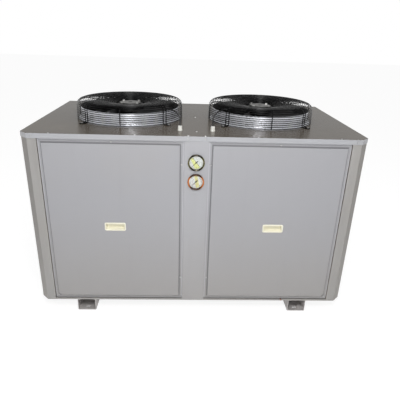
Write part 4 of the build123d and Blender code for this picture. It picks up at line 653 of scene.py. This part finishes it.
def fan_ring(side, sign):
    """Ring wall with a curved flare onto the roof and a rolled lip: a closed section carried round."""
    sweep = np.linspace(np.pi / 2, 0, 9)
    flare_out = RING_RADIUS + RING_FLARE * (1 - np.cos(sweep))
    flare_up = RING_FLARE * (1 - np.sin(sweep))
    lip = np.linspace(0, np.pi, 9)
    roll = RING_SHEET * 0.9
    outer = [(RING_RADIUS + RING_FLARE, SEAT_GAP), (RING_RADIUS + RING_FLARE, RING_SHEET)]
    outer += list(zip(flare_out[::-1], flare_up[::-1] + RING_SHEET))[::-1]
    outer += [(RING_RADIUS - roll + roll * math.cos(a), RING_HEIGHT - roll + roll * math.sin(a)) for a in lip]
    outer += [(RING_RADIUS - RING_SHEET - SEAT_GAP, SEAT_GAP)]
    shape = Shape()
    profile = np.array(without_repeats(outer))
    shape.surface(turned(profile, 128), closed_rows=True)
    return on_fan(shape, sign).build(f"ring_wall_{side}", "cabinet", RING_ZINC, "galvanised", (f"fan_ring_{side}",))


def without_repeats(profile):
    """Drops points of a profile that repeat the one before."""
    kept = [profile[0]]
    for point in profile[1:]:
        if math.dist(point, kept[-1]) > 1e-5:
            kept.append(point)
    return kept


def guard_top(radius):
    """Height of the basket's top at a radius: level at the shoulder and falling to the motor plate."""
    inner, outer = GUARD_HUB_RADIUS, GUARD_RADIUS - GUARD_SHOULDER
    share = np.clip((outer - radius) / (outer - inner), 0, 1)
    return GUARD_CREST - (GUARD_CREST - GUARD_HUB_HEIGHT) * share ** 1.8


def shoulder(share, set_in):
    """Radius and height on the basket's rounded shoulder, share 0 at the side and 1 at the crest."""
    angle = np.asarray(share) * np.pi / 2
    radius = GUARD_RADIUS - GUARD_SHOULDER + (GUARD_SHOULDER - set_in) * np.cos(angle)
    height = GUARD_SIDE_HEIGHT + (GUARD_CREST - GUARD_SIDE_HEIGHT - set_in) * np.sin(angle)
    return radius, height


def spoke_line(foot, end_radius):
    """Radius and height of a radial wire: foot, up the side, over the shoulder, in along the top."""
    radius, height = shoulder(np.linspace(0, 1, 9), SPOKE_SET_IN)
    top_radius = np.linspace(GUARD_RADIUS - GUARD_SHOULDER, end_radius, 24)[1:]
    line = np.column_stack([np.r_[radius, top_radius], np.r_[height, guard_top(top_radius) - SPOKE_SET_IN]])
    return np.concatenate([foot, line])


def leg_path():
    """A leg of one bent wire: in along one side, round the foot's bolt, and back beside itself."""
    low, wall = SPOKE_WIRE / 2, GUARD_RADIUS - SPOKE_SET_IN
    bend = np.linspace(0, np.pi / 2, 6)
    heel = np.column_stack([wall + FOOT_BEND * (1 - np.sin(bend)), low + FOOT_BEND * (1 - np.cos(bend))])
    line = spoke_line(np.concatenate([[(FOOT_RADIUS, low)], heel]), GUARD_HUB_RADIUS - 0.018)
    half_turn = np.linspace(-np.pi / 2, np.pi / 2, 9)[1:-1]
    out = np.column_stack([line[:, 0], np.full(len(line), -LEG_SPREAD), line[:, 1]])
    loop = np.column_stack([FOOT_RADIUS + LEG_SPREAD * np.cos(half_turn), LEG_SPREAD * np.sin(half_turn),
                            np.full(len(half_turn), low)])
    return np.concatenate([out[::-1], loop, out * [1, -1, 1]])


def guard_shape(spoke_turn):
    """The wire basket round its own axis: rings, four single spokes and four double legs."""
    basket = Shape()
    side_count = round((GUARD_SIDE_HEIGHT - LOW_RING) / RING_PITCH) + 1
    top_start = GUARD_RADIUS - GUARD_SHOULDER - 0.006
    rings = [(GUARD_RADIUS - RING_WIRE / 2, height) for height in LOW_RING + RING_PITCH * np.arange(side_count)]
    rings += [shoulder(share, RING_WIRE / 2) for share in SHOULDER_RINGS]
    rings += [(radius, guard_top(radius) - RING_WIRE / 2)
              for radius in np.arange(top_start, GUARD_HUB_RADIUS + RING_PITCH, -RING_PITCH)]
    for radius, height in rings:
        basket.surface(tube(circle(radius, height, RING_STEPS), RING_WIRE / 2, 6, (0, 0, 1)), True)
    spoke = Shape()
    foot = [(GUARD_RADIUS - SPOKE_SET_IN, LOW_RING - RING_WIRE / 2)]
    line = spoke_line(foot, GUARD_HUB_RADIUS - 0.024)
    spoke.surface(tube(np.column_stack([line[:, 0], 0 * line[:, 0], line[:, 1]]), SPOKE_WIRE / 2, 8, (0, 1, 0)))
    leg = Shape()
    path = leg_path()
    leg.surface(tube(path, SPOKE_WIRE / 2, 8, (0.03, 1.0, 0.02)))
    tab = rounded_rectangle(2 * LEG_SPREAD + 0.004, 2 * LEG_SPREAD, 0.005) + [FOOT_RADIUS - 0.002, 0]
    leg.surface(stacked([(tab, 0.0002), (tab, LEG_TAB)]))
    basket.copies(spoke, [place(turn=spoke_turn + math.pi / 2 * k) for k in range(4)])
    basket.copies(leg, [place(turn=LEG_ANGLE + math.pi / 2 * k) for k in range(4)])
    return basket


def blade_points(root, tip):
    """One sickle blade: wing sections of growing chord and falling pitch, wrapped round the fan's axis."""
    share = np.linspace(0, 1, 25)[:, None]
    radius = root + (tip - root) * share
    chord = BLADE_CHORD + BLADE_CHORD_GAIN * share ** 0.8
    pitch = np.radians(BLADE_PITCH - BLADE_PITCH_LOSS * share)
    round_tip = np.sqrt(np.clip(1 - (np.clip(share - 0.86, 0, 1) / 0.145) ** 2, 0.02, 1))
    sweep = BLADE_SWEEP * share ** 2
    around = np.linspace(0, 2 * np.pi, 28, endpoint=False)[None, :]
    along = np.cos(around) / 2
    thick = BLADE_THICKNESS * np.sign(np.sin(around)) * np.abs(np.sin(around)) ** 0.7 * (0.6 + 0.4 * along * 2)
    camber = 0.26 * chord * (0.25 - along ** 2) * 0.35
    flat = along * chord * (0.55 + 0.45 * round_tip)
    across = flat * np.cos(pitch) - (camber + thick / 2) * np.sin(pitch)
    height = BLADE_MIDDLE + flat * np.sin(pitch) + (camber + thick / 2) * np.cos(pitch)
    turn = across / radius + sweep
    return np.stack([radius * np.cos(turn), radius * np.sin(turn), height], -1)


def fan_blades(side, sign):
    """The hub band and its blades."""
    blades = Shape()
    inner, edge, outer = MOTOR_RADIUS + SEAT_GAP, MOTOR_RADIUS + 0.0030, MOTOR_RADIUS + 0.0033
    band = [(inner, HUB_LOW), (edge, HUB_LOW), (outer, HUB_LOW + 0.0015),
            (outer, HUB_HIGH - 0.0015), (edge, HUB_HIGH), (inner, HUB_HIGH)]
    blades.surface(turned(band, 64), closed_rows=True)
    blade = Shape()
    blade.surface(blade_points(BLADE_ROOT, BLADE_TIP))
    blades.copies(blade, [place(turn=2 * math.pi / BLADE_COUNT * k) for k in range(BLADE_COUNT)])
    fan = on_fan(blades, sign)
    return fan.build(f"blades_{side}", f"fan_{side}", BLADE_BLACK, "blade_black", (f"fan_blades_{side}",))


def motor_cup(side, sign):
    """The turning cup of the motor: a profile with a rounded floor edge, plain wall and open top, carried round."""
    outer, corner = MOTOR_RADIUS, CUP_CORNER
    bend = np.linspace(0, np.pi / 2, 7)
    profile = [(POLE, CUP_FOOT), (outer - corner, CUP_FOOT)]
    profile += [(outer - corner + corner * math.sin(a), CUP_FOOT + corner * (1 - math.cos(a))) for a in bend[1:]]
    profile += [(outer, CUP_TOP - 0.001), (outer - 0.001, CUP_TOP), (outer - CUP_WALL, CUP_TOP),
                (outer - CUP_WALL, CUP_FOOT + CUP_WALL), (SHAFT_RADIUS + 0.0005, CUP_FOOT + CUP_WALL),
                (SHAFT_RADIUS, SHAFT_TOP), (POLE, SHAFT_TOP)]
    shape = Shape()
    shape.surface(turned(profile, 72), closed_rows=True)
    cup = on_fan(shape, sign)
    return cup.build(f"motor_cup_{side}", f"fan_{side}", MOTOR_BLACK, "motor_black", (f"motor_rotor_{side}",))


for side, sign in SIDES:
    fan_ring(side, sign)
    guard = on_fan(guard_shape(sign * SPOKE_TURN), sign)
    guard.build(f"wire_basket_{side}", "cabinet", GUARD_BLACK, "guard_black", (f"fan_guard_{side}",), crease=60)
    fan_blades(side, sign)
    motor_cup(side, sign)


# ---------------------------------------------------------------- cables
def motor_cable(side, sign):
    """The motor's round cable: one smooth curve from the stator, out between the wires, into its gland."""
    curve = bpy.data.curves.new(f"cable_{side}", "CURVE")
    curve.dimensions = "3D"
    curve.bevel_depth = CABLE_DIAMETER / 2
    curve.bevel_resolution = 5
    curve.use_fill_caps = True
    curve.resolution_u = 16
    spline = curve.splines.new("NURBS")
    spline.points.add(len(CABLE_ROUTE) - 1)
    for point, (x, y, z) in zip(spline.points, CABLE_ROUTE):
        point.co = (sign * x, y, z, 1)
    spline.order_u = 3
    spline.use_endpoint_u = True
    curve.materials.append(CABLE_RUBBER)
    piece = bpy.data.objects.new(f"cable_{side}", curve)
    bpy.context.scene.collection.objects.link(piece)
    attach(piece, "cabinet")
    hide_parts(f"motor_cable_{side}")
    return piece


for side, sign in SIDES:
    motor_cable(side, sign)


# ---------------------------------------------------------------- pull handles
def pull_handle(side, sign):
    """A rounded cream rim with a cup behind it that the fingers hook into."""
    width, height = HANDLE_HIGH[0] - HANDLE_LOW[0], HANDLE_HIGH[2] - HANDLE_LOW[2]
    middle = (HANDLE_LOW + HANDLE_HIGH) / 2
    rows = []
    for inset, depth in HANDLE_PROFILE:
        radius = max(HANDLE_CORNER - inset * 0.6, 0.002)
        rows.append((rounded_rectangle(width - 2 * inset, height - 2 * inset, radius), depth))
    back = [(rounded_rectangle(width - 2 * CUP_INSET, height - 2 * CUP_INSET, 0.004), depth)
            for depth in (CUP_BACK, -SEAT_GAP)]
    grid = stacked(rows)
    cup = Shape()
    rows_front, columns = grid.shape[:2]
    faces = grid_faces(rows_front, columns, False, True).tolist() + [list(range((rows_front - 1) * columns,
                                                                                rows_front * columns))]
    outside = stacked(back)
    count = rows_front * columns
    faces += (grid_faces(2, columns, False, True) + count).tolist() + [list(range(count + columns - 1, count - 1, -1))]
    seam = np.stack([np.arange(columns), (np.arange(columns) + 1) % columns,
                     count + columns + (np.arange(columns) + 1) % columns, count + columns + np.arange(columns)], -1)
    cup.add(np.concatenate([grid.reshape(-1, 3), outside.reshape(-1, 3)]), faces + seam.tolist())
    handle = Shape().copies(cup, [place(sign * middle[0], PANEL_LOW[1], middle[2], facing="front")])
    return handle.build(f"handle_{side}", f"panel_{side}", CREAM_PLASTIC, "handle_cream", (f"pull_handle_{side}",))


for side, sign in SIDES:
    pull_handle(side, sign)


# ---------------------------------------------------------------- gauges
def gauge(name, finish, slot_name):
    """A dial gauge: turned case with a rolled rim. Its printed card, on the frame's movement, is made in gauge_cards.
    """
    low, high = corners(f"gauge_case_{name}")
    centre_z = (low[2] + high[2]) / 2
    seat = corners("front_post_left")[0][1]
    roll = np.linspace(-np.pi / 2, np.pi / 2, 9)
    profile = [(GAUGE_FACE - 0.0016, 0.0040), (GAUGE_FACE + 0.0003, 0.0040), (GAUGE_FACE + 0.0003, 0.0063),
               (GAUGE_FACE - 0.0015, 0.0080)]
    profile += [(GAUGE_RIM - RIM_ROLL + RIM_ROLL * math.cos(a), GAUGE_PROUD - RIM_ROLL + RIM_ROLL * math.sin(a))
                for a in roll[::-1]]
    profile += [(GAUGE_RIM - 0.0004, SEAT_GAP), (GAUGE_FACE, SEAT_GAP), (GAUGE_FACE, -CASE_DEPTH),
                (STEM_RADIUS, -CASE_DEPTH), (STEM_RADIUS, -STEM_DEPTH), (POLE, -STEM_DEPTH), (POLE, -0.006),
                (GAUGE_FACE - 0.0016, -0.006)]
    case = Shape()
    case.surface(turned(profile, 72), closed_rows=True)
    case = Shape().copies(case, [place(0, seat, centre_z, facing="front")])
    case.build(f"gauge_rim_{name}", "cabinet", finish, slot_name, (f"gauge_case_{name}",))
    return centre_z


HIGH_GAUGE_Z = gauge("high", RIM_OLIVE, "rim_olive")
LOW_GAUGE_Z = gauge("low", RIM_COPPER, "rim_copper")


def gauge_cards():
    """Round printed cards just in front of the movements, behind the frame's glasses."""
    seat = corners("front_post_left")[0][1]
    for name, centre_z, turn, lower in (("high", HIGH_GAUGE_Z, math.radians(-52), False),
                                        ("low", LOW_GAUGE_Z, math.radians(-81), True)):
        card = Shape()
        card.surface(turned([(0.0001, CARD_BACK), (CARD_RADIUS, CARD_BACK),
                             (CARD_RADIUS, CARD_FRONT), (0.0001, CARD_FRONT)], 64))
        card = Shape().copies(card, [place(0, seat, centre_z, facing="front")])
        card.build(f"dial_card_{name}", "cabinet", dial_face(f"dial_print_{name}", centre_z, turn, lower),
                   "dial_white")


gauge_cards()

# ---------------------------------------------------------------- frame nodes with their finishes
NODE_FINISHES = {
    "roof_pan": ROOF_PAINT, "front_post_left": POST_PAINT, "front_post_right": POST_PAINT,
    "rear_post_left": POST_PAINT, "rear_post_right": POST_PAINT, "centre_mullion": GREY_PAINT,
    "front_top_rail": GREY_PAINT, "front_sill": GREY_PAINT, "side_top_rails": POST_PAINT,
    "rear_top_rail": POST_PAINT, "base_pan": POST_PAINT, "foot_rail_left": FOOT_ZINC,
    "foot_rail_right": FOOT_ZINC, "access_panel_left": PANEL_PAINT, "access_panel_right": PANEL_PAINT,
    "panel_screws_left": SCREW_ZINC, "panel_screws_right": SCREW_ZINC, "motor_plate_left": PLATE_ZINC,
    "motor_plate_right": PLATE_ZINC, "motor_stator_left": MOTOR_BLACK, "motor_stator_right": MOTOR_BLACK,
    "cable_glands": WHITE_PLASTIC, "fan_bolts": BOLT_ZINC, "roof_rivets": SCREW_ZINC, "gauge_dials": WHITE_PLASTIC,
    "gauge_glasses": GAUGE_GLASS, "gauge_pointer_high": POINTER_BLACK, "gauge_pointer_low": POINTER_BLACK,
    "coil_end_plates": TUBE_SHEET_ZINC, "coil_headers": COPPER, "compressor_shell": VESSEL_BLACK,
    "compressor_mounts": RUBBER, "compressor_terminal_box": DARK_PLASTIC, "liquid_receiver": VESSEL_BLACK,
    "suction_accumulator": VESSEL_BLACK, "filter_drier": DRIER_GREY, "sight_glass": BRASS,
    "suction_pipes": COPPER, "discharge_pipe": COPPER, "liquid_pipes": COPPER, "pipe_grommets": RUBBER,
    "electrical_box": BOX_PAINT, "drain_spigot": COPPER, "coil_fins_left": FIN_METAL,
    "coil_fins_right": FIN_METAL, "coil_fins_rear": FIN_METAL,
}

# frame nodes whose sheet edges are rounded in a copy
SOFTENED = ("access_panel_left", "access_panel_right", "centre_mullion", "front_top_rail", "front_sill",
            "front_post_left", "front_post_right", "rear_post_left", "rear_post_right", "roof_pan")


def dress_frame():
    """Gives each frame node that is shown its finish."""
    for node, finish in NODE_FINISHES.items():
        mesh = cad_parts[node].data
        mesh.materials.clear()
        mesh.materials.append(finish)
    for node in SOFTENED:
        body = node.replace("access_panel", "panel") if node.startswith("access_panel") else "cabinet"
        softened(node, body, NODE_FINISHES[node], 0.0009)


dress_frame()


# ---------------------------------------------------------------- coil fins
def fin_pack(node, along, name):
    """Thin upright fins side by side along X or Y, filling the coil's box."""
    low, high = corners(node)
    step = 0 if along == "X" else 1
    depth = 1 - step
    count = int((high[step] - low[step]) / FIN_PITCH)
    start = low[step] + FIN_PITCH * (np.arange(count) + 0.5)
    ends = np.array([[0, 0], [1, 0], [1, 1], [0, 1]])
    points = np.zeros((count, 2, 4, 3))
    points[..., step] = start[:, None, None] + FIN_SHEET * np.array([-0.5, 0.5])[None, :, None]
    points[..., depth] = low[depth] + FIN_SHORT + (high[depth] - low[depth] - 2 * FIN_SHORT) * ends[None, None, :, 0]
    points[..., 2] = low[2] + (high[2] - low[2]) * ends[None, None, :, 1]
    box = [(3, 2, 1, 0), (4, 5, 6, 7), (0, 1, 5, 4), (1, 2, 6, 5), (2, 3, 7, 6), (3, 0, 4, 7)]
    faces = (np.arange(count)[:, None, None] * 8 + np.array(box)[None]).reshape(-1, 4)
    pack = Shape()
    pack.add(points, faces)
    return pack.build(name, "cabinet", FIN_METAL, "coil_aluminium", (node,))


fin_pack("coil_fins_left", "Y", "fins_left")
fin_pack("coil_fins_right", "Y", "fins_right")
fin_pack("coil_fins_rear", "X", "fins_rear")


# ---------------------------------------------------------------- studio
FLOOR_REACH = 20.0
WORLD_DIM = 0.42            # the world's level on the object
WORLD_SEEN = 1.0            # its level to the camera, where 1 is white
WORLD_GLOSS = 0.25          # the share of the way to that level for reflections
LAMPS = (                   # name, watts, size, place, aim
    ("key", 27.0, 0.7, (0, -1.9, 2.15), (0, -0.4, 0.75)),
    ("front", 34.0, 1.5, (0, -4.4, 1.6), (0, -0.4, 0.6)),
    ("top", 10.0, 2.0, (0.2, 0.3, 3.4), (0, 0, 0.8)),
    ("left_fill", 4.0, 1.8, (-3.2, -0.8, 1.8), (0, 0, 0.5)),
    ("right_fill", 4.0, 1.8, (3.2, -0.4, 1.8), (0, 0, 0.5)))


def studio():
    """Pale floor, soft lamps and white surroundings."""
    half = FLOOR_REACH
    mesh = bpy.data.meshes.new("studio_floor")
    mesh.from_pydata([(-half, -half, 0), (half, -half, 0), (half, half, 0), (-half, half, 0)], [], [(0, 1, 2, 3)])
    floor = bpy.data.objects.new("studio_floor", mesh)
    bpy.context.scene.collection.objects.link(floor)
    mesh.materials.append(pale_floor("studio_floor"))

    def lamp(name, power, size, at, aim):
        data = bpy.data.lights.new(name, "AREA")
        data.shape = "DISK"
        data.size = size
        data.energy = power
        light = bpy.data.objects.new(name, data)
        bpy.context.scene.collection.objects.link(light)
        light.location = at
        light.rotation_euler = (Vector(aim) - Vector(at)).to_track_quat("-Z", "Y").to_euler()

    for described in LAMPS:
        lamp(*described)

    world = bpy.data.worlds.new("studio")
    bpy.context.scene.world = world
    world.use_nodes = True
    nodes, links = world.node_tree.nodes, world.node_tree.links
    nodes.clear()
    path = nodes.new("ShaderNodeLightPath")
    seen = nodes.new("ShaderNodeMath")
    seen.operation = "MAXIMUM"
    links.new(path.outputs["Is Camera Ray"], seen.inputs[0])
    links.new(path.outputs["Is Transmission Ray"], seen.inputs[1])
    dimmed = nodes.new("ShaderNodeMath")
    dimmed.operation = "MULTIPLY_ADD"
    dimmed.inputs[1].default_value = WORLD_GLOSS
    links.new(path.outputs["Is Glossy Ray"], dimmed.inputs[0])
    links.new(seen.outputs[0], dimmed.inputs[2])
    level = nodes.new("ShaderNodeMapRange")
    level.inputs["To Min"].default_value = WORLD_DIM
    level.inputs["To Max"].default_value = WORLD_SEEN
    links.new(dimmed.outputs[0], level.inputs["Value"])
    sky = nodes.new("ShaderNodeBackground")
    sky.inputs["Color"].default_value = (1, 1, 1, 1)
    links.new(level.outputs[0], sky.inputs["Strength"])
    out = nodes.new("ShaderNodeOutputWorld")
    links.new(sky.outputs[0], out.inputs["Surface"])


def camera():
    """Camera at standing height before the front, turned by heading, pitch and roll."""
    heading, pitch, roll = 0.0413, 0.3943, -0.0314
    forward = Vector((math.sin(heading) * math.cos(pitch), math.cos(heading) * math.cos(pitch), -math.sin(pitch)))
    right = Vector((math.cos(heading), -math.sin(heading), 0))
    down = forward.cross(right)
    level_right = right * math.cos(roll) + down * math.sin(roll)
    level_down = down * math.cos(roll) - right * math.sin(roll)
    data = bpy.data.cameras.new("camera")
    data.sensor_width = 36.0
    data.lens = 36.58
    eye = bpy.data.objects.new("camera", data)
    bpy.context.scene.collection.objects.link(eye)
    turn = Matrix((level_right, -level_down, -forward)).transposed()
    eye.matrix_world = Matrix.Translation((-0.0505, FRONT - 1.7541, 1.3622)) @ turn.to_4x4()
    bpy.context.scene.camera = eye


studio()
camera()
bpy.context.scene.view_settings.view_transform = "Standard"


def plain(bounds):
    """A box as plain lists of numbers."""
    return [[float(value) for value in corner] for corner in bounds]
